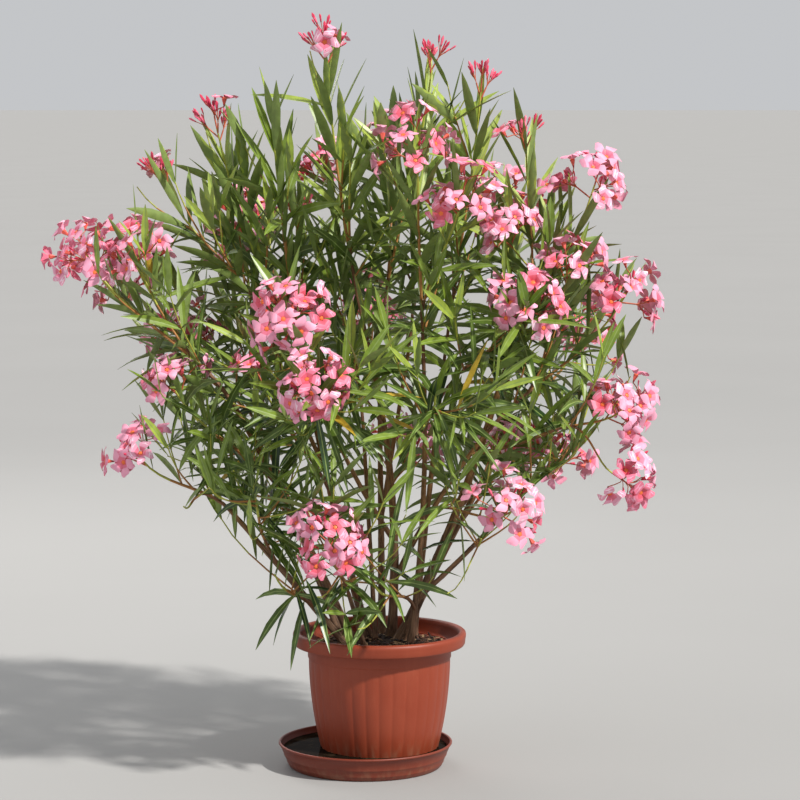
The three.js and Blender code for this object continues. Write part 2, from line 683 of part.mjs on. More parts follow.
function makeLeaf(shoot, share, turn, [angleDraw, droopDraw, lengthDraw]) {
  const root = shoot.pointAt(share);
  const tangent = shoot.tangentAt(share);
  const [first, second] = crossAxes(tangent);
  const outward = at(first.multiplyScalar(Math.cos(turn)), second, Math.sin(turn));
  const plainAngle = mix(byHeight(LEAF_ANGLE_FOOT, root.z), byHeight(LEAF_ANGLE_TIP, root.z), share);
  const angle = toRadians(plainAngle + around(angleDraw, LEAF_ANGLE_VARIES));
  const plainDroop = mix(byHeight(LEAF_DROOP_FOOT, root.z), byHeight(LEAF_DROOP_TIP, root.z), share);
  const droop = plainDroop * (1 + around(droopDraw, LEAF_DROOP_VARIES));
  const length = LEAF_LENGTH * (1 + around(lengthDraw, LEAF_LENGTH_VARIES));
  const inner = at(tangent.clone().multiplyScalar(Math.cos(angle)), outward, Math.sin(angle)).normalize();
  const side = new THREE.Vector3().crossVectors(tangent, outward).normalize();
  const normal = new THREE.Vector3().crossVectors(inner, side).normalize();
  const outer = at(inner, UP, -droop).normalize();
  const middle = at(root, inner, length * LEAF_WIDEST);
  const end = at(middle, outer, length * (1 - LEAF_WIDEST));
  return { root, middle, end, side, normal };
}

// The stretches of a leaf that have to keep clear, from just outside its shoot to its end.
function leafStretches(mass, whorl, { root, middle, end }) {
  const half = LEAF_WIDTH / 2;
  const neck = root.clone().lerp(middle, LEAF_NECK_SHARE);
  return [
    stretch(mass.name, whorl, neck, middle, half * LEAF_NECK_SHARE, half),
    stretch(mass.name, whorl, middle, end, half, 1),
  ];
}

function growLeaves(mass) {
  mass.leaves = [];
  mass.shoots.forEach((shoot, order) => {
    const bare = order === 0 ? WHORL_BARE_SHARE : WHORL_BARE_SHARE / 2;
    const whorls = Math.max(2, Math.round((shoot.length * (1 - bare)) / WHORL_STEP));
    for (let whorl = 0; whorl < whorls; whorl += 1) {
      const share = mix(bare, WHORL_LAST_SHARE, whorl / (whorls - 1));
      const start = mass.random() * 2 * Math.PI;
      const whorlBase = {};
      for (let blade = 0; blade < LEAVES_IN_WHORL; blade += 1) {
        const draws = Array.from({ length: 3 }, mass.random);
        const place = share - (blade * LEAF_STAGGER) / shoot.length;
        const leaf = makeLeaf(shoot, place, start + (blade / LEAVES_IN_WHORL) * 2 * Math.PI, draws);
        const pieces = leafStretches(mass, whorlBase, leaf);
        if (insideCrown(leaf.end) && hasRoom(pieces, [whorlBase, shoot.curve])) {
          mass.leaves.push(leaf);
          placed.push(...pieces);
        }
      }
    }
  });
}

// One flower or bud: a five-sided funnel from the head's middle, dished at its mouth.
function bloomSolid({ hub, axis, reach, radius }) {
  const [side, other] = crossAxes(axis);
  const mouth = at(hub, axis, reach);
  const rim = Array.from({ length: PETALS }, (_, petal) => {
    const turn = (petal / PETALS) * 2 * Math.PI;
    return at(at(mouth, side, Math.cos(turn) * radius), other, Math.sin(turn) * radius);
  });
  const corners = [hub, at(hub, axis, reach * BLOOM_THROAT), ...rim];
  const faces = rim.flatMap((_, petal) => {
    const [here, next] = [2 + petal, 2 + ((petal + 1) % PETALS)];
    return [[0, next, here], [1, here, next]];
  });
  return closedSolid(corners, faces);
}

// The flowers of a head stand in a ring round the end of its shoot, with one in the middle of many.
function growBlooms(mass) {
  mass.blooms = [];
  for (const shoot of mass.shoots.filter(({ head }) => head && head[4] > 0)) {
    const [, , , kind, count] = shoot.head;
    const isBud = kind === 'bud';
    const tangent = shoot.tangentAt(1);
    const [side, other] = crossAxes(tangent);
    const inMiddle = count > BLOOMS_IN_RING_ALONE ? 1 : 0;
    const fullRing = toRadians(inMiddle ? BLOOM_RING_DEGREES.many : BLOOM_RING_DEGREES.few);
    const ring = isBud ? fullRing * BUD_FAN_SHARE : fullRing;
    const start = mass.random() * 2 * Math.PI;
    for (let order = 0; order < count; order += 1) {
      const hub = shoot.pointAt(1 - (BLOOM_FIRST + order * BLOOM_SPACING) / shoot.length);
      const fan = order < inMiddle ? 0 : ring;
      const turn = start + ((order - inMiddle) / (count - inMiddle)) * 2 * Math.PI;
      const reach = (isBud ? BUD_REACH : BLOOM_REACH) * (1 + around(mass.random(), BLOOM_REACH_VARIES));
      const outward = at(side.clone().multiplyScalar(Math.cos(turn)), other, Math.sin(turn));
      const axis = at(tangent.clone().multiplyScalar(Math.cos(fan)), outward, Math.sin(fan)).normalize();
      const radius = isBud ? BUD_RADIUS : BLOOM_RADIUS;
      const whole = stretch(`${mass.name} head`, shoot.head, hub, at(hub, axis, reach), 3, radius);
      if (hasRoom([whole], [shoot.head, shoot.curve])) {
        mass.blooms.push({ hub, axis, reach, radius });
        placed.push(whole);
      }
    }
  }
}

function massSolid(mass) {
  const rods = mass.shoots.map((shoot) => taperedRod(shoot.curve, shoot.radiusAt, SHOOT_SIDES, shoot.steps));
  const whole = wasm.Manifold.union([...rods, ...mass.leaves.map(leafSolid), ...mass.blooms.map(bloomSolid)]);
  const cut = mass.at === 1 ? whole : whole.subtract(limbSolid(limbs[mass.on], GAP));
  return largestBody(cut);
}

addPiece('saucer', turned(saucerProfile(), SAUCER_SEGMENTS), 'saucer');
const pot = addPiece('pot', turned(potProfile(), POT_SEGMENTS), 'pot');
const soil = addPiece('soil', turned(soilProfile(), SOIL_SEGMENTS), 'soil');
[pot, soil].forEach((piece) => piece.position.set(POT_CENTRE.x, POT_CENTRE.y, 0));

growLimbs();
Object.values(limbs).forEach((limb) => {
  addPiece(limb.name, geometryOf(limb.solid), 'bark');
  const radiusAt = (share) => limbRadius(limb, share);
  placed.push(...stretchesOf(limb.name, limb.name, limb.curve, radiusAt, LIMB_STEPS));
});

const masses = Object.entries(MASSES).map(([name, plan], order) => {
  return { name, ...plan, random: seededStream(order + 1) };
});
masses.forEach((mass) => {
  growHeads(mass);
  mass.shoots.forEach((shoot) => placed.push(...shoot.stretches));
});
masses.forEach(growBlooms);
masses.forEach(growTwigs);
masses.forEach(growLeaves);
masses.forEach((mass) => addPiece(mass.name, geometryOf(massSolid(mass)), 'foliage'));

export default group;
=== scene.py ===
"""A flowering oleander in a plastic pot and saucer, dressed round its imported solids.

Metres. The origin is the centre of the saucer's flat underside, +Z is up, +X is to the right of the
front view and +Y points away from it. Sizes in the tables and in the plant's rule are in millimetres,
as the solids' own are, and MM turns them to metres where a mesh is made.
"""
import logging
import math
from dataclasses import dataclass, field
from enum import Enum
from typing import Callable, Sequence

import bpy
import numpy as np
from mathutils import Matrix, Vector


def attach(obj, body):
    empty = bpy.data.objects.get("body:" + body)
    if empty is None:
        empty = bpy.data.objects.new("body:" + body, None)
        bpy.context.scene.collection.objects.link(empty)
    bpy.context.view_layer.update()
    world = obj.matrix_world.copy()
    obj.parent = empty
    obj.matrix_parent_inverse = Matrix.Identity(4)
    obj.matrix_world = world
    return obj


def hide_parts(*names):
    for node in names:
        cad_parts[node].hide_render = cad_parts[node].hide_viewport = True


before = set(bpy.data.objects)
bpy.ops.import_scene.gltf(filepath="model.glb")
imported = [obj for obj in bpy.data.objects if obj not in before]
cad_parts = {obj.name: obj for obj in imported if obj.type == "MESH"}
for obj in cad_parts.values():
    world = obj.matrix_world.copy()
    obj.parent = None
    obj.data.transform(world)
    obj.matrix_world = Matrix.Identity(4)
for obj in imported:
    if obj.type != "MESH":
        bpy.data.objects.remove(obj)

LOG = logging.getLogger("oleander")
MM = 0.001
UP = np.array([0.0, 0.0, 1.0])
GOLDEN_ANGLE = math.pi * (3 - math.sqrt(5))
SOIL_Z = 265.0
Array = np.ndarray
Material = bpy.types.Material
Object = bpy.types.Object
Pair = tuple[float, float]
Point = tuple[float, float, float]
Colour = tuple[float, float, float]


# Shader expressions

class Value:
    """One output of a shader graph that takes part in Python expressions."""

    def __init__(self, graph: "Graph", socket: bpy.types.NodeSocket) -> None:
        """Keeps the socket and the graph that it belongs to."""
        self.graph = graph
        self.socket = socket

    def _with(self, operation: str, first: "Operand", second: "Operand") -> "Value":
        """Adds one Math node."""
        return self.graph.node("ShaderNodeMath", {"operation": operation}, {0: first, 1: second})

    def __add__(self, other: "Operand") -> "Value":
        """self + other."""
        return self._with("ADD", self, other)

    def __mul__(self, other: "Operand") -> "Value":
        """self * other."""
        return self._with("MULTIPLY", self, other)

    def __rsub__(self, other: "Operand") -> "Value":
        """other - self."""
        return self._with("SUBTRACT", other, self)

    __radd__, __rmul__ = __add__, __mul__

    def between(self, low: float, high: float) -> "Value":
        """A smooth mask that rises from 0 at low to 1 at high."""
        sockets = {"Value": self, "From Min": low, "From Max": high}
        return self.graph.node("ShaderNodeMapRange", {"interpolation_type": "SMOOTHSTEP"}, sockets)


Operand = Value | float | Sequence[float]


class Graph:
    """The shader graph of one material, with its Principled shader."""

    def __init__(self, name: str, constants: dict[str, Operand]) -> None:
        """Makes the material.

        Args:
            name: Name of the material.
            constants: Values set directly on the shader's own sockets.
        """
        self.material = bpy.data.materials.new(name)
        self.material.use_nodes = True
        self.tree = self.material.node_tree
        self.tree.nodes.clear()
        self.shader = self.tree.nodes.new("ShaderNodeBsdfPrincipled")
        output = self.tree.nodes.new("ShaderNodeOutputMaterial")
        self.tree.links.new(self.shader.outputs[0], output.inputs[0])
        for socket, value in constants.items():
            self.feed(self.shader, socket, value)

    def feed(self, node: bpy.types.Node, socket: str | int, value: Operand) -> None:
        """Links a value to a socket, or sets a number or a colour on it.

        Args:
            node: The node whose socket is fed.
            socket: The socket's name or number.
            value: A Value, a number, a colour or a vector.
        """
        target = node.inputs[socket]
        if isinstance(value, Value):
            self.tree.links.new(value.socket, target)
        elif isinstance(value, (int, float)):
            target.default_value = value
        else:
            room = len(target.default_value)
            target.default_value = (tuple(value) + (1.0,))[:room]

    def node(self, kind: str, settings: dict, sockets: dict, output: str | int = 0) -> Value:
        """Adds any node.

        Args:
            kind: The node's type.
            settings: Properties set first, such as a Math node's operation.
            sockets: Values or links by socket name or number.
            output: The output to read.

        Returns:
            The chosen output.
        """
        made = self.tree.nodes.new(kind)
        for key, value in settings.items():
            setattr(made, key, value)
        for socket, value in sockets.items():
            self.feed(made, socket, value)
        return Value(self, made.outputs[output])

    def place(self, stretch: Sequence[float] = (1, 1, 1), output: str = "Object") -> Value:
        """The surface's own place, in metres, with each axis multiplied by stretch."""
        spot = self.node("ShaderNodeTexCoord", {}, {}, output)
        return self.node("ShaderNodeMapping", {}, {"Vector": spot, "Scale": stretch})

    def noise(self, where: Value, scale: float, detail: float = 3.0, distortion: float = 0.0) -> Value:
        """Cloudy noise from 0 to 1."""
        sockets = {"Vector": where, "Scale": scale, "Detail": detail, "Distortion": distortion}
        return self.node("ShaderNodeTexNoise", {}, sockets)

    def cells(self, where: Value, scale: float) -> Value:
        """Distance to the nearest of scattered points."""
        return self.node("ShaderNodeTexVoronoi", {}, {"Vector": where, "Scale": scale}, "Distance")

    def blend(self, factor: Operand, first: Operand, second: Operand) -> Value:
        """A colour that goes from first to second as factor goes from 0 to 1."""
        return self.node("ShaderNodeMix", {"data_type": "RGBA"}, {0: factor, 6: first, 7: second}, 2)

    def dress(self, colour: Value, roughness: Value, height: Value, strength: float,
              depth: float) -> Material:
        """Feeds the shader and gives the material.

        Args:
            colour: Base colour.
            roughness: Roughness.
            height: Height of the surface from 0 to 1.
            strength: Share of the height's effect.
            depth: Height that 1 stands for, in metres.

        Returns:
            The material.
        """
        sockets = {"Height": height, "Strength": strength, "Distance": depth}
        normal = self.node("ShaderNodeBump", {}, sockets)
        for socket, value in (("Base Color", colour), ("Roughness", roughness), ("Normal", normal)):
            self.feed(self.shader, socket, value)
        return self.material


def shades(*rows: Sequence[int]) -> list[Colour]:
    """Linear colours of display colours that are given from 0 to 255, by the display standard's curve."""
    shares = np.array(rows) / 255
    levels = np.where(shares <= 0.04045, shares / 12.92, ((shares + 0.055) / 1.055) ** 2.4)
    return [tuple(float(level) for level in row) for row in levels]


# Finishes

@dataclass(frozen=True)
class PlasticFinish:
    """Moulded plastic with faint flow marks, dust in its lower part and fine scuffs."""

    name: str
    colour: Colour
    faded: Colour
    dust: Colour
    dust_top: float
    dust_share: float
    roughness: float

    def make(self) -> Material:
        """Builds the material."""
        graph = Graph(self.name, {"Specular IOR Level": 0.45})
        clouds = graph.noise(graph.place(), 9, 5)
        streaks = graph.noise(graph.place((26, 26, 2.2)), 3, 4, 0.4)
        specks = graph.noise(graph.place(), 420, 2)
        plain = graph.blend(clouds.between(0.35, 0.72) * 0.55 + streaks.between(0.5, 0.75) * 0.35,
                            self.colour, self.faded)
        height = graph.node("ShaderNodeSeparateXYZ", {}, {0: graph.place()}, "Z")
        low = 1 - height.between(self.dust_top * 0.2, self.dust_top)
        dusty = low * streaks.between(0.42, 0.68) * self.dust_share + specks.between(0.62, 0.72) * 0.1
        roughness = self.roughness + 0.16 * clouds + 0.25 * dusty
        return graph.dress(graph.blend(dusty, plain, self.dust), roughness, specks * 0.6 + streaks * 0.4,
                           0.25, 0.0006)


@dataclass(frozen=True)
class WaterFinish:
    """Standing water with dust and small leaf scraps floating on it. Its near-black base colour is partly the
    dark water itself and partly painted shade of the saucer's floor under the pot and the crown.
    """

    name: str
    deep: Colour
    film: Colour

    def make(self) -> Material:
        """Builds the material."""
        graph = Graph(self.name, {"Specular IOR Level": 0.0015})
        drift = graph.noise(graph.place(), 22, 4, 0.6)
        scraps = 1 - graph.cells(graph.place((1, 1, 0.2)), 70).between(0.12, 0.2)
        film = drift.between(0.5, 0.8) * 0.4 + scraps * drift.between(0.5, 0.6) * 0.5
        return graph.dress(graph.blend(film, self.deep, self.film), 0.04 + 0.4 * film,
                           graph.noise(graph.place(), 40, 2), 0.12, 0.002)


@dataclass(frozen=True)
class CompostFinish:
    """Crumbly potting compost with lighter fibres."""

    name: str
    dark: Colour
    brown: Colour
    fibre: Colour

    def make(self) -> Material:
        """Builds the material."""
        graph = Graph(self.name, {"Specular IOR Level": 0.25})
        crumbs = graph.cells(graph.place(), 150)
        clouds = graph.noise(graph.place(), 30, 6)
        threads = graph.noise(graph.place((160, 30, 60)), 2, 3, 1.5).between(0.66, 0.72)
        earth = graph.blend(clouds.between(0.35, 0.7), self.dark, self.brown)
        colour = graph.blend(threads, earth, self.fibre)
        return graph.dress(colour, 0.8 + 0.18 * clouds, crumbs + clouds, 0.9, 0.004)


@dataclass(frozen=True)
class BarkFinish:
    """Bark streaked along the limb, grey-brown below and ochre above, on the limb's own UV map.

    The map's first number goes once round the limb and its second is the length along it in metres.
    """

    name: str
    low: Colour
    high: Colour
    crack: Colour
    pale: Colour

    def make(self) -> Material:
        """Builds the material."""
        graph = Graph(self.name, {"Specular IOR Level": 0.3})
        height = graph.node("ShaderNodeSeparateXYZ", {}, {0: graph.place()}, "Z")
        clouds = graph.noise(graph.place(), 14, 4)
        along = graph.noise(graph.place((7, 9, 1), "UV"), 2.6, 6, 0.8)
        rings = graph.noise(graph.place((0.8, 70, 1), "UV"), 1.2, 3, 0.4)
        lenticels = 1 - graph.cells(graph.place((9, 110, 1), "UV"), 1).between(0.1, 0.24)
        rise = (height + clouds * 0.3).between(0.45, 0.95)
        bark = graph.blend(rise, self.low, self.high)
        cracks = (1 - along.between(0.34, 0.5)) * 0.8
        colour = graph.blend(cracks, bark, self.crack)
        colour = graph.blend(along.between(0.58, 0.74) * 0.5 + lenticels * 0.35, colour, self.pale)
        return graph.dress(colour, 0.62 + 0.3 * along, along * 0.7 + rings * 0.3, 0.8, 0.0016)


@dataclass(frozen=True)
class SkinFinish:
    """Skin of a leaf, twig or petal: one base colour, lightly mottled, with a fine grain."""

    name: str
    colour: Colour
    roughness: float
    mottle: float = 0.12

    def make(self) -> Material:
        """Builds the material."""
        graph = Graph(self.name, {"Specular IOR Level": 0.5})
        clouds, fine = graph.noise(graph.place(), 60, 3), graph.noise(graph.place(), 900, 2)
        dark = tuple(level * (1 - self.mottle) for level in self.colour)
        light = tuple(min(1.0, level * (1 + self.mottle)) for level in self.colour)
        return graph.dress(graph.blend(clouds.between(0.35, 0.65), dark, light),
                           self.roughness - 0.06 + 0.12 * fine, fine, 0.3, 0.0003)


def make_skins(*rows: tuple) -> list[Material]:
    """Materials from rows of name, display colour, roughness and, where it isn't the usual, mottling."""
    return [SkinFinish(name, *shades(colour), *rest).make() for name, colour, *rest in rows]


# Meshes from whole arrays

@dataclass
class Pattern:
    """The faces of one shape that may be repeated: the corners of each face, and its zone."""

    faces: list[tuple[int, ...]]
    zones: list[int]
    corner_count: int


def tube_pattern(rings: int, sides: int, zone: Callable[[int, int], int] = lambda ring, side: 0) -> Pattern:
    """Faces of a closed tube: quads between neighbouring rings and one face over each end.

    Args:
        rings: Number of rings.
        sides: Corners of a ring, turning by the right hand about the way the tube runs.
        zone: Gives the zone of a face from its ring and its side.

    Returns:
        The pattern, with its corners numbered ring by ring.
    """
    faces: list[tuple[int, ...]] = []
    zones: list[int] = []
    for ring in range(rings - 1):
        low, high = ring * sides, (ring + 1) * sides
        for side in range(sides):
            following = (side + 1) % sides
            faces.append((low + side, low + following, high + following, high + side))
            zones.append(zone(ring, side))
    faces += [tuple(reversed(range(sides))), tuple(range((rings - 1) * sides, rings * sides))]
    zones += [zone(0, 0), zone(rings - 2, 0)]
    return Pattern(faces, zones, rings * sides)


@dataclass
class JoinedMesh:
    """One mesh joined from many shapes, each given as whole arrays."""

    points: list[Array] = field(default_factory=list)
    corners: list[Array] = field(default_factory=list)
    sizes: list[Array] = field(default_factory=list)
    slots: list[Array] = field(default_factory=list)
    total: int = 0

    def add(self, points: Array, pattern: Pattern, slot_table: Array | int = 0) -> None:
        """Adds copies of a shape.

        Args:
            points: Corners in metres, as copies by corners by 3.
            pattern: Faces of one copy.
            slot_table: One material slot, or a slot for each copy and zone.
        """
        copies = len(points)
        if copies == 0:
            return
        loops = np.concatenate([np.array(face) for face in pattern.faces])
        starts = self.total + pattern.corner_count * np.arange(copies)
        self.points.append(points.reshape(-1, 3))
        self.corners.append((loops[None, :] + starts[:, None]).ravel())
        self.sizes.append(np.tile([len(face) for face in pattern.faces], copies))
        table = np.broadcast_to(np.asarray(slot_table), (copies, max(pattern.zones) + 1))
        self.slots.append(table[:, pattern.zones].ravel())
        self.total += copies * pattern.corner_count

    def finish(self, name: str, materials: Sequence[Material], crease: float,
               uv: Array | None = None) -> Object:
        """Makes the object.

        Args:
            name: Name of the piece.
            materials: One material for each slot.
            crease: Angle in degrees past which an edge stays sharp.
            uv: Map coordinates of every face corner, if the piece has a map.

        Returns:
            The linked object, at the origin.
        """
        points, corners = np.concatenate(self.points), np.concatenate(self.corners)
        sizes, slots = np.concatenate(self.sizes), np.concatenate(self.slots)
        mesh = bpy.data.meshes.new(name)
        for part, count in ((mesh.vertices, points), (mesh.loops, corners), (mesh.polygons, sizes)):
            part.add(len(count))
        for part, key, values, kind in (
                (mesh.vertices, "co", points.ravel(), np.float32),
                (mesh.loops, "vertex_index", corners, np.int32),
                (mesh.polygons, "loop_start", np.cumsum(sizes) - sizes, np.int32),
                (mesh.polygons, "loop_total", sizes, np.int32),
                (mesh.polygons, "material_index", slots, np.int32),
                (mesh.polygons, "use_smooth", np.ones(len(sizes)), bool)):
            part.foreach_set(key, values.astype(kind))
        for material in materials:
            mesh.materials.append(material)
        if uv is not None:
            mesh.uv_layers.new(name="UVMap").data.foreach_set("uv", uv.astype(np.float32).ravel())
        mesh.update()
        mesh.validate()
        mesh.set_sharp_from_angle(angle=math.radians(crease))
        return linked(name, mesh)


def linked(name: str, content: bpy.types.ID) -> Object:
    """A new object of a mesh, a light or a camera, put in the scene."""
    made = bpy.data.objects.new(name, content)
    bpy.context.scene.collection.objects.link(made)
    return made


def enlist(piece: Object, slot: str, *nodes: str) -> None:
    """Puts a piece on the plant's one body, hides the solids that it stands for, and reports it.

    Args:
        piece: The piece.
        slot: The record's material slot, or an empty word for none; not used.
        nodes: The solids that it replaces.
    """
    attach(piece, "root")
    if nodes:
        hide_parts(*nodes)
    LOG.info("%s: %d corners, %d faces", piece.name, len(piece.data.vertices), len(piece.data.polygons))


def solo_piece(name: str, points: Array, pattern: Pattern, materials: Sequence[Material], crease: float,
               slot_table: Array | int = 0, uv: Array | None = None) -> Object:
    """A piece of one kind of shape: the arguments are those of JoinedMesh's add and finish."""
    mesh = JoinedMesh()
    mesh.add(points, pattern, slot_table)
    return mesh.finish(name, materials, crease, uv)


def unit(vectors: Array) -> Array:
    """The vectors made one long."""
    return vectors / np.linalg.norm(vectors, axis=-1, keepdims=True)


def cross_axes(tangents: Array) -> tuple[Array, Array]:
    """Two directions square to each line: the line crossed with up, or with +X where it is near upright."""
    level = np.where(np.abs(tangents[..., 2:3]) < 0.98, UP, np.array([1.0, 0.0, 0.0]))
    side = unit(np.cross(tangents, level))
    return side, unit(np.cross(side, tangents))


def around(first: Array, second: Array, turn: Array) -> Array:
    """The direction at an angle from first towards second."""
    return first * np.cos(turn)[..., None] + second * np.sin(turn)[..., None]


def tilted(axis: Array, outward: Array, angle: float) -> Array:
    """The direction at one angle from an axis towards a direction square to it."""
    return axis * math.cos(angle) + outward * math.sin(angle)


def full_turn(count: int) -> Array:
    """Angles spread evenly over one whole turn."""
    return np.arange(count) / count * math.tau


def spokes(turns: Array) -> Array:
    """Level directions at angles from +X."""
    return np.stack([np.cos(turns), np.sin(turns)], -1)


def swung(draw: Array | float, most: float) -> Array | float:
    """A draw from 0 to 1 spread from -most to +most."""
    return (2 * draw - 1) * most


def ramp(start: float, end: float, share: Array) -> Array:
    """Goes evenly from start to end as share goes from 0 to 1."""
    return start + (end - start) * share


def height_share(z: Array | float, low: float = 650.0, high: float = 1250.0) -> Array:
    """From 0 in the low crown, where shoots spread, to 1 in the high crown, where they rise steeply."""
    return np.clip((np.asarray(z) - low) / (high - low), 0, 1)


class SeededStream:
    """A stream of numbers from 0 to 1, the same as the solids' for the same seed."""

    MASK = 0xFFFFFFFF

    def __init__(self, seed: int) -> None:
        """Starts the stream."""
        self.state = seed

    def __call__(self) -> float:
        """The next number: the state steps on by a fixed odd number and its bits are mixed twice."""
        self.state = (self.state + 0x6D2B79F5) & self.MASK
        bits = ((self.state ^ (self.state >> 15)) * (self.state | 1)) & self.MASK
        bits ^= (bits + (((bits ^ (bits >> 7)) * (bits | 61)) & self.MASK)) & self.MASK
        return (bits ^ (bits >> 14)) / 4294967296


class BezierCurve:
    """A smooth curve drawn by its control points and read by the share of its length."""

    DIVISIONS = 200

    def __init__(self, *controls: Array) -> None:
        """Measures the curve along 200 straight pieces."""
        self.controls = np.array(controls, float)
        self.parameters = np.linspace(0, 1, self.DIVISIONS + 1)
        pieces = np.linalg.norm(np.diff(self.blended(self.controls, self.parameters), axis=0), axis=1)
        self.lengths = np.concatenate([[0.0], np.cumsum(pieces)])
        self.length = float(self.lengths[-1])

    @staticmethod
    def blended(controls: Array, parameters: Array) -> Array:
        """The sum of the controls, each weighed by its Bernstein polynomial."""
        degree = len(controls) - 1
        weights = [math.comb(degree, order) * parameters ** order * (1 - parameters) ** (degree - order)
                   for order in range(degree + 1)]
        return np.stack(weights, axis=-1) @ controls

    def _parameter(self, share: Array) -> Array:
        """The curve's parameter at a share of its length."""
        return np.interp(np.asarray(share) * self.length, self.lengths, self.parameters)

    def point(self, share: Array) -> Array:
        """Places at shares of the length."""
        return self.blended(self.controls, self._parameter(share))

    def tangent(self, share: Array) -> Array:
        """Directions at shares of the length, from the differences of the controls."""
        return unit(self.blended(np.diff(self.controls, axis=0), self._parameter(share)))


def rod_points(curve: BezierCurve, radii: Array, sides: int, relief: Array | float = 1.0) -> Array:
    """Corners of a round rod along a curve: each ring is a circle square to the curve there.

    Args:
        curve: The rod's middle line.
        radii: Radius of each ring.
        sides: Corners of a ring.
        relief: Factor on the radius of each ring and side.

    Returns:
        An array of 1 by rings times sides by 3.
    """
    shares = np.linspace(0, 1, len(radii))
    tangents = curve.tangent(shares)
    chord = np.abs(curve.controls[-1] - curve.controls[0])
    reference = np.eye(3)[int(np.argmin(chord))]
    first = unit(reference - tangents * (tangents @ reference)[:, None])
    second = np.cross(tangents, first)
    outward = around(first[:, None], second[:, None], full_turn(sides)[None])
    reach = (np.asarray(radii)[:, None] * relief)[..., None]
    return (curve.point(shares)[:, None] + outward * reach).reshape(1, -1, 3)


# Pot, saucer and compost

def turned_piece(name: str, profile: Array, segments: int, centre: Sequence[float], material: Material,
                 crease: float, relief: Callable[[Array, Array], Array] | None = None) -> Object:
    """A turned piece: each profile point is carried once round the upright axis.

    Args:
        name: Name of the piece.
        profile: Radius and height of each ring, in millimetres.
        segments: Corners of a ring.
        centre: Place of the axis.
        material: Material of the piece.
        crease: Angle in degrees past which an edge stays sharp.
        relief: Gives what is added to the radius and the height, from the ring numbers and the turns.

    Returns:
        The piece.
    """
    turns = full_turn(segments)[None, :]
    rings = np.arange(len(profile))[:, None]
    change = relief(rings, turns) if relief else np.zeros((2, 1, 1))
    radius, height = profile[:, :1] + change[0], profile[:, 1:] + change[1] + 0 * turns
    points = np.stack([centre[0] + radius * np.cos(turns), centre[1] + radius * np.sin(turns), height], -1)
    pattern = tube_pattern(len(profile), segments)
    return solo_piece(name, points.reshape(1, -1, 3) * MM, pattern, [material], crease)


@dataclass
class Pot:
    """The bowed pot with soft upright flutes, a step under its rim, and a thick rolled rim."""

    centre: Pair = (31.0, 15.0)
    base_z: float = 4.8
    top_z: float = 296.0
    rim: float = 190.0
    rim_height: float = 30.0
    neck: float = 157.5
    base: float = 121.0
    wall: float = 4.0
    groove: float = 28.0
    step: float = 2.0
    bow: float = 2.2
    flutes: int = 32
    flute_depth: float = 1.5
    segments: int = 384

    @property
    def neck_z(self) -> float:
        """Height of the rim's underside."""
        return self.top_z - self.rim_height

    def wall_radius(self, z: Array) -> Array:
        """Outer radius of the wall, which narrows from the neck by a power of the share left to the base."""
        share = np.clip((np.asarray(z) - self.base_z) / (self.neck_z - self.base_z), 0, 1)
        return ramp(self.neck, self.base, (1 - share) ** self.bow)

    def profile(self) -> Array:
        """Radius and height from the middle of the base, over the rim, down to the middle of the inside."""
        base, foot, neck, top = self.base, self.base_z, self.neck_z, self.top_z
        groove, inside = neck - self.groove, foot + self.wall
        under = [(4, foot), (base - 16, foot), (base - 9, foot + 0.8), (base - 4.5, foot + 4)]
        low = [foot + 10, foot + 16, foot + 24]
        heights = np.concatenate([low, np.linspace(40, groove - 6, 14), [groove - 2]])
        fluted = np.stack([self.wall_radius(heights) - self.step, heights], -1)
        edge = self.wall_radius(groove)
        collar = [(edge - self.step, groove), (edge, groove + 1.5), (edge + 0.2, groove + 3),
                  (self.neck - 0.6, neck - 4), (self.neck + 1, neck - 0.6)]
        rolled = ((10, neck - 0.2), (4, neck + 0.8), (2.2, neck + 4), (1.4, neck + 12), (0.4, top - 12),
                  (0, top - 8), (1, top - 3.4), (4, top - 0.8), (9, top), (13, top - 1), (16, top - 4.5),
                  (18, top - 10), (20, neck + 4))
        rim = [(self.rim - inward, z) for inward, z in rolled]
        falling = np.array([neck - 6, 200, 140, 60, foot + 12])
        inner = np.stack([self.wall_radius(falling) - self.step - self.wall, falling], -1)
        return np.concatenate([under, fluted, collar, rim, inner, [(base - 18, inside), (4, inside)]])

    def flute_relief(self, rings: Array, turns: Array) -> Array:
        """Adds to the radius a row of round swellings, the root of a sine, fading out at foot and groove."""
        profile = self.profile()
        radii, heights = profile[:, :1], profile[:, 1:]
        outside = (radii > self.wall_radius(heights) - self.step - 1) & (rings < np.argmax(radii))
        from_foot, to_groove = heights - self.base_z - 6, self.neck_z - self.groove - heights
        fade = np.clip(from_foot / 22, 0, 1) * np.clip(to_groove / 10, 0, 1)
        swelling = np.abs(np.sin(turns * self.flutes / 2)) ** 0.7 - 0.6
        return np.stack([self.flute_depth * swelling * fade * outside, 0 * turns + 0 * fade])

    def build(self, shell: Material) -> None:
        """Builds the pot of one material."""
        piece = turned_piece("fluted_pot", self.profile(), self.segments, self.centre, shell, 55,
                             self.flute_relief)
        enlist(piece, "pot", "pot")


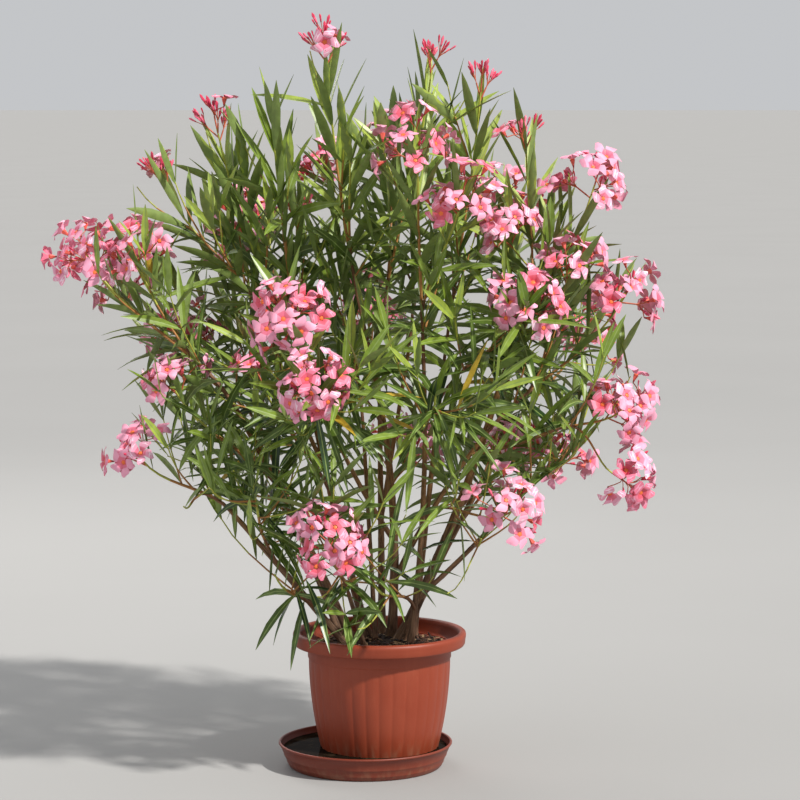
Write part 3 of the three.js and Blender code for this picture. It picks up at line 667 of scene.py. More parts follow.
@dataclass
class Saucer:
    """The round saucer, with faint rings moulded outside and in, and the water that stands in it."""

    pot: Pot
    rim: float = 190.5
    base: float = 167.0
    height: float = 54.0
    wall: float = 3.5
    floor: float = 4.5
    lip: float = 6.0
    water_level: float = 40.0
    pool_radius: float = 127.5
    segments: int = 160

    def profile(self) -> Array:
        """Radius and height from the middle of the underside, over the lip, to the middle of the floor."""
        half = self.lip / 2
        shoulder, lip_middle = self.height - self.lip, self.rim - self.lip / 2
        slope = (lip_middle - self.base) / shoulder
        inside = self.base - self.wall
        foot = [(3, 0), (self.base - 14, 0), (self.base - 3, 0), (self.base - 0.5, 1.6)]
        beads = ((4, 0.2), (9, 0.2), (10.5, 1.0), (12, 0.2), (24, 0.2), (25.5, 1.0), (27, 0.2))
        outer = [(self.base + slope * z + bead, z) for z, bead in beads]
        turns = np.linspace(-0.5, 1.1, 9) * math.pi
        lip = np.stack([lip_middle + np.cos(turns) * half, shoulder + half + np.sin(turns) * half], -1)
        inner = [(self.rim - self.lip - 0.6, shoulder - 2), (inside + 3, self.floor + 6),
                 (inside - 3, self.floor + 0.6)]
        rings = [(radius + aside, self.floor + lift) for radius in range(150, 20, -18)
                 for aside, lift in ((2, 0), (0, 1.2), (-2, 0))]
        return np.concatenate([foot, outer, lip, inner, rings, [(3, self.floor)]])

    def build(self, shell: Material, water: Material) -> None:
        """Builds the saucer and its water.

        Args:
            shell: Material of the saucer.
            water: Material of the water.
        """
        dish = turned_piece("saucer_dish", self.profile(), self.segments, (0, 0), shell, 50)
        enlist(dish, "saucer", "saucer")
        enlist(solo_piece("saucer_water", self.pool_points(), self.pool_pattern(), [water], 40), "")

    def pool_points(self) -> Array:
        """Water corners: a band from the pot's wall to the saucer's, with a level top and a lower face."""
        turns = full_turn(self.segments)
        inside, lip_z = self.base - self.wall, self.height - self.lip
        slope = (self.rim - self.lip - inside) / (lip_z - self.floor)
        wall = inside + slope * (self.water_level - self.floor) - 1.2
        near = np.array(self.pot.centre) + spokes(turns) * self.pool_radius
        far = spokes(np.arctan2(near[:, 1], near[:, 0])) * wall
        shares = np.linspace(0, 1, 5)
        top = near[None] + (far - near)[None] * shares[:, None, None]
        swell = 0.25 * np.sin(turns * 5)[None, :] * np.sin(shares * math.pi)[:, None]
        upper = np.concatenate([top, (self.water_level + swell)[..., None]], -1)
        lower = np.concatenate([top[::-1], np.full((5, self.segments, 1), self.water_level - 6.0)], -1)
        return np.concatenate([lower[-1:], upper, lower[:-1]]).reshape(1, -1, 3) * MM

    def pool_pattern(self) -> Pattern:
        """Faces of the band: the same as a tube's, but joined at its ends in place of end faces."""
        rings = 10
        pattern = tube_pattern(rings, self.segments)
        last = (rings - 1) * self.segments
        steps = [(side, (side + 1) % self.segments) for side in range(self.segments)]
        closing = [(last + here, last + after, after, here) for here, after in steps]
        return Pattern(pattern.faces[:-2] + closing, [0] * (len(pattern.faces) - 2 + len(closing)),
                       pattern.corner_count)


@dataclass
class Compost:
    """The compost that fills the pot: a lumpy top, with chips of bark and fibre lying on it."""

    pot: Pot
    top_z: float = SOIL_Z
    inset: float = 6.7
    lump: float = 3.2
    segments: int = 144
    chips: int = 420
    chip_size: float = 5.0

    def profile(self) -> Array:
        """Radius and height from the middle of the floor, up the wall, to the middle of the top."""
        floor = self.pot.base_z + self.pot.wall + 0.3
        heights = np.array([self.pot.base_z + 10, 60.0, 140.0, 200.0])
        wall = np.stack([self.pot.wall_radius(heights) - self.inset, heights], -1)
        edge = self.pot.wall_radius(self.top_z) - self.inset
        top = [[edge - 3, self.top_z - 5], [edge - 8, self.top_z - 2.5]]
        rings = [[radius, self.top_z] for radius in np.linspace(edge - 14, 3, 34)]
        return np.concatenate([[[3, floor], [self.pot.base - 10 - self.inset, floor]], wall, top, rings])

    def lumps(self, rings: Array, turns: Array) -> Array:
        """Adds to the height of the top a sum of crossed waves of several lengths."""
        radius, height = np.hsplit(self.profile(), 2)
        x, y = radius * np.cos(turns), radius * np.sin(turns)
        waves = (np.sin(x / 9.1 + 1.3 * np.sin(y / 13)) + np.sin(y / 7.3 + 1.7 * np.sin(x / 11))
                 + 0.7 * np.sin((x + y) / 4.1) * np.sin((x - y) / 4.7 + 1))
        on_top = (height > self.top_z - 1) & (rings > 6)
        return np.stack([0 * waves, self.lump / 2.7 * waves * on_top])

    def chip_points(self) -> Array:
        """Corners of the chips: small boxes of random sides, turned and strewn over the top."""
        random = np.random.default_rng(41)
        edge = self.pot.wall_radius(self.top_z) - self.inset - 8
        radius = edge * np.sqrt(random.random(self.chips))
        turn = random.random(self.chips) * math.tau
        spot = np.array(self.pot.centre) + spokes(turn) * radius[:, None]
        middle = np.concatenate([spot, self.top_z + 1 + 2.5 * random.random((self.chips, 1))], -1)
        sides = self.chip_size * (0.5 + random.random((self.chips, 3))) * np.array([1.6, 0.8, 0.5])
        along = unit(random.normal(size=(self.chips, 3)) * np.array([1, 1, 0.25]))
        frame_of_chip = np.stack([along, *cross_axes(along)], axis=1) * sides[:, :, None]
        girths = ((-1, 0.7), (0, 1.0), (1, 0.6))
        corners = np.array([(step, a * girth / 2, b * girth / 2) for step, girth in girths
                            for a, b in ((-1, -1), (1, -1), (1, 1), (-1, 1))])
        return (middle[:, None] + corners @ frame_of_chip) * MM

    def build(self, earth: Material, chip_materials: Sequence[Material]) -> None:
        """Builds the compost and its chips.

        Args:
            earth: Material of the compost.
            chip_materials: Materials dealt out among the chips.
        """
        mound = turned_piece("compost_mound", self.profile(), self.segments, self.pot.centre, earth, 60,
                             self.lumps)
        deal = np.random.default_rng(42).integers(0, len(chip_materials), (self.chips, 1))
        strewn = solo_piece("compost_chips", self.chip_points(), tube_pattern(3, 4), chip_materials, 30, deal)
        for piece in (mound, strewn):
            enlist(piece, "soil", "soil")


# Stems and boughs

@dataclass(frozen=True)
class LimbPlan:
    """Where a limb starts and ends, how far its middle stands off the straight line, and its radii.

    foot is a place on the compost, or the parent's name with the share of its length.
    """

    foot: tuple
    tip: Point
    bow: Point
    radii: Pair


LIMB_PLANS = {name: LimbPlan(*row) for name, *row in (
    ("stem_right", (74, 68), (297, 0, 849), (14, 0, 0), (12.5, 6)),
    ("stem_centre", (56, 112), (8, 60, 914), (26, -8, 0), (11, 5)),
    ("stem_front", (98, 20), (128, -60, 855), (12, 6, 0), (7, 4.5)),
    ("stem_inner", (106, 110), (168, 84, 841), (0, 12, 0), (7.5, 4.5)),
    ("stem_left_low", (-40, 18), (-291, -50, 571), (6, 6, -6), (8.5, 5)),
    ("stem_left_long", (-28, 60), (-281, -20, 792), (8, 4, 0), (9.5, 5.5)),
    ("stem_left_dark", (6, 104), (-125, 100, 817), (-6, 4, 0), (10, 6)),
    ("stem_thin", (22, 72), (-6, 120, 740), (0, 10, 0), (5.5, 4)),
    ("stem_back_left", (-52, 92), (-230, 240, 700), (0, 10, -8), (8, 5)),
    ("stem_back", (36, 148), (30, 290, 760), (0, 10, -8), (9, 5)),
    ("stem_back_right", (84, 142), (330, 230, 720), (-10, 10, -8), (8.5, 5)),
    ("stem_front_low", (0, -22), (-34, -118, 400), (0, 6, 0), (6, 4.5)),
    ("bough_centre_left", ("stem_centre", 0.34), (-65, -120, 749), (-8, 8, 0), (6, 4)),
    ("bough_long_right", ("stem_centre", 0.2), (266, -34, 741), (-14, 0, 0), (6.5, 4.5)),
    ("bough_low_right", ("stem_right", 0.19), (341, -24, 609), (4, 0, -6), (6, 4)),
    ("bough_outer_right", ("bough_long_right", 0.84), (400, -66, 744), (0, 0, -6), (4.5, 3.6)),
    ("bough_left_high", ("stem_left_dark", 0.68), (-215, 70, 960), (-6, 0, 0), (5, 4)),
    ("bough_back_high", ("stem_back", 0.5), (96, 214, 900), (0, 6, 0), (5.5, 4)),
)}


@dataclass
class Limb:
    """One stem or bough: a tapering limb along a curve."""

    name: str
    curve: BezierCurve
    radii: Pair
    rooted: bool
    flare: float = 1.35
    flare_share: float = 0.12

    def radius(self, share: Array) -> Array:
        """The radius tapers evenly, and a rooted stem flares by a square law over its lowest part."""
        plain = ramp(*self.radii, np.asarray(share))
        swell = np.maximum(0, 1 - np.asarray(share) / self.flare_share) ** 2
        return plain * (1 + (self.flare - 1) * swell * self.rooted)


@dataclass
class Limbs:
    """All stems and boughs, each dressed in a mesh with the bark's relief."""

    sunk: float = 6.0
    sides: int = 20
    ring_step: float = 8.0
    ridge: float = 0.045
    scar_step: float = 46.0
    scar_width: float = 0.07
    scar_height: float = 0.07
    limbs: dict[str, Limb] = field(default_factory=dict)

    def grow(self) -> None:
        """Lays each limb's curve: start, middle pushed off the straight line by twice the bow, tip."""
        for name, plan in LIMB_PLANS.items():
            rooted = not isinstance(plan.foot[0], str)
            if rooted:
                start = np.array([*plan.foot, SOIL_Z - self.sunk])
            else:
                parent, share = plan.foot
                start = self.limbs[parent].curve.point(share)
            tip = np.array(plan.tip, float)
            middle = (start + tip) / 2 + 2 * np.array(plan.bow)
            self.limbs[name] = Limb(name, BezierCurve(start, middle, tip), plan.radii, rooted)

    def relief(self, limb: Limb, rings: int) -> Array:
        """Factor on the radius: long wandering ridges, plus a raised ring at each pair of leaf scars."""
        seed = sum(map(ord, limb.name))
        turns = full_turn(self.sides)[None, :]
        along = np.linspace(0, limb.curve.length, rings)[:, None]
        wander = np.sin(along / 37 + seed) + 0.6 * np.sin(along / 17 + 2 * seed)
        ridges = np.sin(5 * turns + 1.2 * wander) + 0.7 * np.sin(8 * turns - along / 29 + seed)
        lumps = 0.5 * np.sin(2 * turns + along / 23 + seed)
        scar = np.exp(-((((along / self.scar_step + seed * 0.37) % 1) - 0.5) / self.scar_width) ** 2)
        fade = np.clip(limb.radius(np.linspace(0, 1, rings))[:, None] / 9, 0.4, 1.1)
        return 1 + fade * (self.ridge * (ridges + lumps) / 1.4) + self.scar_height * scar

    def uv(self, limb: Limb, rings: int, pattern: Pattern) -> Array:
        """Map of each face corner: once round the limb, and metres along it."""
        loops = np.concatenate([np.array(face) for face in pattern.faces])
        ring, side = np.divmod(loops, self.sides)
        sizes = np.array([len(face) for face in pattern.faces])
        starts = np.repeat(np.cumsum(sizes) - sizes, sizes)
        wraps = (side == 0) & (side[starts] == self.sides - 1) & (np.repeat(sizes, sizes) == 4)
        round_share = np.where(wraps, 1.0, side / self.sides)
        return np.stack([round_share, ring / (rings - 1) * limb.curve.length * MM], -1)

    def build(self, bark: Material) -> None:
        """Builds one piece for each limb."""
        self.grow()
        for limb in self.limbs.values():
            rings = max(12, round(limb.curve.length / self.ring_step))
            radii = limb.radius(np.linspace(0, 1, rings))
            pattern = tube_pattern(rings, self.sides)
            points = rod_points(limb.curve, radii, self.sides, self.relief(limb, rings)) * MM
            uv = self.uv(limb, rings, pattern)
            enlist(solo_piece(f"{limb.name}_bark", points, pattern, [bark], 60, uv=uv), "bark", limb.name)


# Foliage

class Head(Enum):
    """What the end of a shoot carries."""

    BLOOM = "bloom"
    BUD = "bud"
    LEAF = "leaf"


class Region(Enum):
    """The part of the crown that a joined piece covers."""

    BACK = "back"
    LEFT = "left"
    RIGHT = "right"
    CENTRE = "centre"

    @staticmethod
    def of(name: str) -> "Region":
        """The region whose word comes first in a mass's name, or the centre."""
        return next((region for region in Region if region.value in name), Region.CENTRE)


@dataclass(frozen=True)
class MassPlan:
    """The limb that bears a mass, where on it, the number of twigs, and the heads it is drawn out to.

    A head is a row of its place, its kind and the number of its flower sprays.
    """

    on: str
    share: float
    twigs: int
    heads: list[tuple]


MASS_PLANS = {f"foliage_{name}": MassPlan(on, share, twigs, heads) for name, on, share, twigs, *heads in (
    ("right_crest", "stem_right", 1, 3,
     (495, 0, 1270, "bloom", 4), (350, 60, 1350, "bud", 3), (310, -40, 1155, "bloom", 3)),
    ("right_arm", "bough_long_right", 1, 3, (556, -50, 1030, "bloom", 4), (433, -100, 1085, "bloom", 3)),
    ("right_front", "stem_inner", 0.92, 3, (350, -170, 1020, "bloom", 5)),
    ("right_outer", "bough_outer_right", 1, 3, (560, -100, 800, "bloom", 6), (540, -150, 660, "bloom", 3)),
    ("right_low", "bough_low_right", 1, 3, (453, -60, 700, "leaf", 0), (430, 80, 655, "bloom", 3)),
    ("right_inner", "stem_right", 0.5, 2, (320, 90, 680, "bloom", 3)),
    ("right_under", "stem_front", 0.5, 2, (312, -200, 590, "bloom", 4)),
    ("front_crest", "stem_front", 1, 3, (110, -130, 1350, "bloom", 4), (205, -210, 1250, "bloom", 5)),
    ("front_middle", "stem_front", 0.78, 3, (150, -300, 850, "leaf", 0)),
    ("inner_top", "stem_inner", 1, 3, (250, 30, 1470, "bud", 3), (190, 140, 1130, "leaf", 0)),
    ("centre_top", "stem_centre", 1, 3, (-85, 0, 1555, "bud", 4), (-30, -90, 1330, "leaf", 0)),
    ("centre_crest", "stem_centre", 0.88, 3, (145, 80, 1520, "bud", 3), (60, 170, 1380, "leaf", 0)),
    ("centre_left", "bough_centre_left", 1, 3, (-96, -380, 870, "bloom", 6)),
    ("front_upper", "stem_centre", 0.72, 3, (-160, -330, 1010, "bloom", 6)),
    ("left_low", "stem_left_low", 1, 3, (-475, -120, 690, "bloom", 3), (-380, -200, 600, "leaf", 0)),
    ("left_middle", "stem_left_long", 0.66, 3, (-405, -90, 835, "bloom", 3)),
    ("left_long", "stem_left_long", 1, 3,
     (-600, 0, 1120, "bloom", 5), (-490, -50, 1120, "bloom", 4), (-530, 90, 1030, "bloom", 3)),
    ("left_inner", "bough_left_high", 0.5, 2, (-370, 180, 910, "bloom", 3)),
    ("left_front", "stem_left_dark", 0.58, 3, (-220, -60, 850, "bud", 2)),
    ("left_crown", "stem_left_dark", 1, 3, (-200, 20, 1420, "leaf", 0), (-150, 90, 1180, "bud", 2)),
    ("left_top", "stem_left_dark", 0.86, 3, (-325, 120, 1390, "bud", 4), (-275, 210, 1110, "bloom", 3)),
    ("left_shoulder", "bough_left_high", 1, 3, (-440, 90, 1270, "bud", 3), (-330, 0, 1180, "leaf", 0)),
    ("front_low", "stem_front_low", 1, 4, (-72, -318, 548, "bloom", 5)),
    ("front_left", "stem_left_low", 0.6, 3, (-230, -240, 650, "leaf", 0)),
    ("heart", "stem_thin", 1, 3, (-60, 190, 1120, "leaf", 0)),
    ("back_left", "stem_back_left", 1, 3, (-430, 290, 900, "bloom", 3), (-250, 430, 860, "leaf", 0)),
    ("back_left_high", "stem_back_left", 0.85, 3, (-280, 320, 1190, "bloom", 4)),
    ("back", "stem_back", 1, 3, (0, 470, 960, "bloom", 5)),
    ("back_high", "bough_back_high", 1, 3, (90, 280, 1370, "bloom", 4), (-90, 330, 1280, "bloom", 3)),
    ("back_right", "stem_back_right", 1, 3, (490, 270, 920, "bloom", 4), (360, 400, 900, "leaf", 0)),
    ("back_right_high", "stem_back_right", 0.86, 3, (320, 270, 1210, "bloom", 4)),
    ("back_low", "stem_back", 0.55, 3, (90, 350, 640, "bloom", 3)),
    ("back_low_left", "stem_back_left", 0.55, 3, (-260, 260, 610, "leaf", 0)),
    ("back_low_right", "stem_back_right", 0.5, 3, (310, 260, 640, "bloom", 3)),
    ("low_left", "stem_left_low", 0.28, 3, (-190, -170, 450, "leaf", 0)),
    ("low_middle", "stem_left_dark", 0.16, 3, (-60, -150, 470, "leaf", 0)),
    ("low_front", "stem_front", 0.14, 2, (20, -220, 440, "leaf", 0)),
    ("low_right", "bough_low_right", 0.45, 2, (250, -120, 520, "leaf", 0)),
)}


@dataclass
class Shoot:
    """One leader, branch or twig of a mass."""

    curve: BezierCurve
    radii: Pair
    bare: float
    head: Head = Head.LEAF
    blooms: int = 0
    age: float = 0.0


@dataclass
class Crown:
    """The outline of the crown, the room over the pot, and the limbs that leaves keep clear of."""

    limbs: Limbs
    pot: Pot
    middle_z: float = 1080.0
    height_above: float = 560.0
    height_below: float = 760.0
    half_width: float = 545.0
    half_depth: float = 560.0
    fullness: float = 1.13
    skirt: float = 0.5
    lean: float = 5.0
    lowest_leaf: float = 215.0
    rim_room: float = 6.0
    limb_room: float = 3.0
    heart: Pair = (70.0, 50.0)
    heart_radius: float = 240.0
    heart_top: float = 800.0
    heart_bare: float = 0.8

    def holds(self, points: Array) -> Array:
        """Whether points lie in the crown, which narrows by the square of the height off its widest part."""
        rise = points[:, 2] - self.middle_z
        height = rise / np.where(rise > 0, self.height_above, self.height_below)
        spread = np.hypot((points[:, 0] - self.lean) / self.half_width, points[:, 1] / self.half_depth)
        return spread < np.maximum(self.fullness - height ** 2, np.where(rise > 0, 0, self.skirt))

    def clears_pot(self, points: Array) -> Array:
        """Whether points stay above the compost, out of the rim and off the ground."""
        from_axis = np.hypot(points[:, 0] - self.pot.centre[0], points[:, 1] - self.pot.centre[1])
        inside = (from_axis < self.pot.rim - 22) & (points[:, 2] > SOIL_Z + self.rim_room)
        outside = (from_axis > self.pot.rim + self.rim_room) & (points[:, 2] > self.lowest_leaf)
        return inside | outside | (points[:, 2] > self.pot.top_z + self.rim_room)

    def is_bare_heart(self, points: Array, chances: Array) -> Array:
        """Whether a leaf has dropped: most have inside the low crown, where the stems shade one another."""
        from_heart = np.hypot(points[:, 0] - self.heart[0], points[:, 1] - self.heart[1])
        inside = (from_heart < self.heart_radius) & (points[:, 2] < self.heart_top)
        return inside & (chances < self.heart_bare)

    def clears_limbs(self, points: Array) -> Array:
        """Whether points keep off every limb, measured to places along its middle line."""
        clear = np.ones(len(points), bool)
        shares = np.linspace(0, 1, 60)
        for limb in self.limbs.limbs.values():
            gaps = np.linalg.norm(points[:, None] - limb.curve.point(shares)[None], axis=-1)
            clear &= (gaps > limb.radius(shares)[None] + self.limb_room).all(axis=1)
        return clear


@dataclass
class ShootRule:
    """The seeded rule by which a mass branches, the solids' own and then carried to finer twigs.

    The ages are those of a leader, a branch, a twig and a finer twig. Pairs ending in low and high are a
    leader's and a branch's, at the foot and at the top of the crown, and a mix weighs two directions.
    """

    reach: float = 0.35
    upturn: float = 0.6
    longest: float = 230.0
    shortest: float = 120.0
    length_varies: float = 0.2
    first: float = 0.18
    extent: float = 0.7
    spread_low: float = 50.0
    spread_high: float = 30.0
    spread_varies: float = 11.0
    lift: float = 0.15
    finer_low: Pair = (5.0, 3.0)
    finer_high: Pair = (1.0, 0.0)
    finer_size: float = 0.82
    finer_foot: Pair = (300.0, 650.0)
    finer_least: float = 0.35
    finer_varies: float = 14.0
    finer_turn: float = 2.1
    sunk: float = 4.0
    side_mix: Pair = (0.6, 0.8)
    fork_mix: Pair = (0.5, 0.6)
    fork_first: float = 0.3
    fork_step: float = 0.15
    tip_thinner: float = 0.94
    side_thinner: float = 0.7
    side_most: float = 4.6
    leader_end: float = 2.0
    branch_radii: Pair = (3.0, 1.8)
    twig_radii: Pair = (2.4, 1.4)
    finer_radii: Pair = (2.0, 1.2)
    ages: tuple[float, float, float, float] = (1.0, 0.7, 0.5, 0.25)
    bare: float = 0.22

    def curve(self, start: Array, leaving: Array, end: Array) -> BezierCurve:
        """A cubic that leaves along a given direction and turns up towards its end."""
        distance = float(np.linalg.norm(end - start))
        arriving = unit(unit(end - start) + UP * self.upturn)
        return BezierCurve(start, start + leaving * distance * self.reach,
                           end - arriving * distance * self.reach, end)

    def grow_heads(self, plan: MassPlan, limb: Limb) -> list[Shoot]:
        """The leader, and the branches to the mass's other heads.

        Args:
            plan: The mass's plan.
            limb: The limb that bears it.

        Returns:
            The leader and then its branches.
        """
        along, foot = limb.curve.tangent(plan.share), limb.curve.point(plan.share)
        (end, kind, blooms), *others = [(np.array(place, float), Head(kind), blooms)
                                        for *place, kind, blooms in plan.heads]
        if plan.share == 1:
            start, leaving, base = foot - along * self.sunk, along, float(limb.radius(1.0)) * self.tip_thinner
        else:
            start, leaving = foot, unit(along * self.side_mix[0] + unit(end - foot) * self.side_mix[1])
            base = min(self.side_most, float(limb.radius(plan.share)) * self.side_thinner)
        leader = Shoot(self.curve(start, leaving, end), (base, self.leader_end), self.bare, kind, blooms,
                       self.ages[0])
        shoots = [leader]
        for order, (place, kind, blooms) in enumerate(others):
            share = self.fork_first + self.fork_step * order
            fork = leader.curve.point(share)
            away = leader.curve.tangent(share) * self.fork_mix[0] + unit(place - fork) * self.fork_mix[1]
            shoots.append(Shoot(self.curve(fork, unit(away), place), self.branch_radii, self.bare / 2, kind,
                                blooms, self.ages[1]))
        return shoots

    def grow_twig(self, parent: Shoot, share: float, turn: float, spread: float, length: float,
                  radii: Pair, age: float) -> Shoot:
        """One twig off a shoot.

        Args:
            parent: The shoot that bears it.
            share: Share of the parent's length at the fork.
            turn: Angle round the parent.
            spread: Angle off the parent, in degrees, added to the rule's own at that height.
            length: Length of the twig.
            radii: Radii of the twig at its fork and its end.
            age: From 0, green, to 1, brown.

        Returns:
            The twig.
        """
        fork, tangent = parent.curve.point(share), parent.curve.tangent(share)
        outward = around(*cross_axes(tangent), np.array(turn))
        angle = math.radians(float(ramp(self.spread_low, self.spread_high, height_share(fork[2]))) + spread)
        leaving = unit(tilted(tangent, outward, angle))
        end = fork + leaving * length + UP * length * self.lift
        return Shoot(self.curve(fork, leaving, end), radii, self.bare / 2, age=age)

    def grow_twigs(self, plan: MassPlan, leader: Shoot, stream: SeededStream) -> list[Shoot]:
        """The solids' own twigs, by the same draws."""
        twigs = []
        for order in range(plan.twigs):
            place, turn, spread, length = (stream() for _ in range(4))
            share = self.first + self.extent * (order + place) / plan.twigs
            size = ramp(self.longest, self.shortest, share) * (1 + swung(length, self.length_varies))
            twigs.append(self.grow_twig(leader, share, order * GOLDEN_ANGLE + turn,
                                        swung(spread, self.spread_varies), size, self.twig_radii,
                                        self.ages[2]))
        return twigs

    def grow_finer(self, shoot: Shoot, rank: int, random: np.random.Generator) -> list[Shoot]:
        """Finer twigs of the same rule between the others, thinner and shorter, and fewer near foot and top.

        Args:
            shoot: The shoot that bears them.
            rank: 0 on a leader and 1 on a branch.
            random: Where the draws come from.

        Returns:
            The twigs.
        """
        end_z = shoot.curve.controls[-1][2]
        plenty = max(self.finer_least, float(height_share(end_z, *self.finer_foot)))
        count = round(plenty * float(ramp(self.finer_low[rank], self.finer_high[rank], height_share(end_z))))
        draws = random.random((count, 4))
        shares = self.first + self.extent * (np.arange(count) + draws[:, 0]) / count
        sizes = ramp(self.longest, self.shortest, shares) * self.finer_size * (0.7 + 0.6 * draws[:, 3])
        return [self.grow_twig(shoot, float(share), order * GOLDEN_ANGLE + self.finer_turn + draw[1],
                               swung(draw[2], self.finer_varies), float(size), self.finer_radii, self.ages[3])
                for order, (share, size, draw) in enumerate(zip(shares, sizes, draws))]


@dataclass
class LeafRule:
    """How leaves stand on a shoot, and the shape of one leaf."""

    length: float = 164.0
    length_varies: float = 0.15
    width: float = 17.5
    widths: Pair = (0.84, 1.14)
    whorl_step_low: float = 46.0
    whorl_step_high: float = 58.0
    in_whorl: int = 3
    stagger: float = 4.0
    last: float = 0.97
    last_under_bloom: float = 0.88
    angle_low: Pair = (86.0, 46.0)
    angle_tip: Pair = (32.0, 16.0)
    angle_varies: float = 10.0
    droop_low: Pair = (0.9, 0.25)
    droop_tip: Pair = (0.2, 0.04)
    droop_varies: float = 0.4
    fold_degrees: float = 15.0
    roll: float = 0.8
    curl: float = 0.35
    rib: float = 1.0
    thickness: float = 0.8
    stations: tuple = (0.0, 0.12, 0.34, 0.6, 0.83, 1.0)
    widest: float = 0.42

    @property
    def pattern(self) -> Pattern:
        """Faces of one leaf: blade, rib and underside strips between its rings."""
        zones = (0, 1, 0, 2, 2)
        return tube_pattern(len(self.stations), 5, lambda ring, side: zones[side])

    def half_width(self, share: Array) -> Array:
        """A narrow lance: the root of a half sine, drawn in to a short stalk at the foot."""
        return self.width / 2 * np.sin(math.pi * share ** 0.9) ** 0.8 * np.minimum(1, 0.3 + share / 0.16)

    def roots(self, shoot: Shoot, random: np.random.Generator) -> dict[str, Array]:
        """The leaves of a shoot, in whorls of three.

        Args:
            shoot: The shoot.
            random: Where the draws come from.

        Returns:
            Arrays of root, middle and end places, sides, starts, lengths and shares along the shoot.
        """
        last = self.last_under_bloom if shoot.head is Head.BLOOM else self.last
        step = ramp(self.whorl_step_low, self.whorl_step_high, height_share(shoot.curve.controls[-1][2]))
        whorls = max(2, round(float(shoot.curve.length * (last - shoot.bare) / step)))
        shares = np.repeat(ramp(shoot.bare, last, np.arange(whorls) / (whorls - 1)), self.in_whorl)
        blades = np.tile(np.arange(self.in_whorl), whorls)
        starts = np.repeat(random.random(whorls) * math.tau, self.in_whorl)
        draws = random.random((len(shares), 3))
        places = np.clip(shares - blades * self.stagger / shoot.curve.length, 0.01, 1)
        root, tangent = shoot.curve.point(places), shoot.curve.tangent(places)
        outward = around(*cross_axes(tangent), starts + blades / self.in_whorl * math.tau)
        height = height_share(root[:, 2])
        plain = ramp(ramp(*self.angle_low, height), ramp(*self.angle_tip, height), shares)
        angle = np.radians(plain + swung(draws[:, 0], self.angle_varies))
        hang = ramp(ramp(*self.droop_low, height), ramp(*self.droop_tip, height), shares)
        droop = hang * (1 + swung(draws[:, 1], self.droop_varies))
        young = 1 - 0.35 * np.clip((shares - 0.86) / 0.12, 0, 1) * (shoot.head is Head.LEAF)
        length = self.length * (1 + swung(draws[:, 2], self.length_varies)) * young
        inner = around(tangent, outward, angle)
        outer = unit(inner - UP * droop[:, None])
        middle = root + inner * (length * self.widest)[:, None]
        end = middle + outer * (length * (1 - self.widest))[:, None]
        return {"root": root, "start": inner, "middle": middle, "end": end,
                "side": np.cross(tangent, outward), "length": length, "share": shares}

    def points(self, leaf: dict[str, Array], random: np.random.Generator) -> Array:
        """Corners of the leaves.

        The middle line is a quadratic from the root to the end, bent where the leaf is widest. Each ring
        has two edges, lifted by the fold, two rib corners and a keel under them, and rolls a little
        further round the middle line towards the end.

        Args:
            leaf: The arrays of the leaves.
            random: Where the draws come from.

        Returns:
            An array of leaves by corners by 3, in metres.
        """
        share = np.array(self.stations)[None, :, None]
        bend = leaf["root"] + leaf["start"] * (leaf["length"] * 0.5)[:, None]
        root, bend, end = leaf["root"][:, None], bend[:, None], leaf["end"][:, None]
        centre = root * (1 - share) ** 2 + bend * 2 * share * (1 - share) + end * share ** 2
        tangent = unit((bend - root) * (1 - share) + (end - bend) * share)
        side = leaf["side"][:, None]
        side = unit(side - tangent * np.sum(side * tangent, -1, keepdims=True))
        normal = np.cross(tangent, side)
        count = len(leaf["root"])
        roll, curl = (swung(random.random((count, 1)), most) for most in (self.roll, self.curl))
        twist = roll + curl * share[0, :, 0][None, :]
        across = around(side, normal, twist)
        upward = np.cross(tangent, across)
        half = np.broadcast_to(self.half_width(share[0, :, 0])[None, :], twist.shape)
        widths = ramp(*self.widths, height_share(leaf["root"][:, 2:]))
        scale = (0.8 + 0.4 * random.random((count, 1))) * widths
        half = np.maximum(half * scale, 0.35)[..., None]
        rib = np.minimum(self.rib, half * 0.6)
        fold = math.tan(math.radians(self.fold_degrees))
        keel = -np.minimum(self.thickness, half * 0.9)
        corners = [across * half + upward * half * fold, across * rib, -across * rib,
                   -across * half + upward * half * fold, upward * keel]
        placed = centre[:, :, None] + np.stack(corners, axis=2)
        return placed.reshape(count, self.pattern.corner_count, 3) * MM


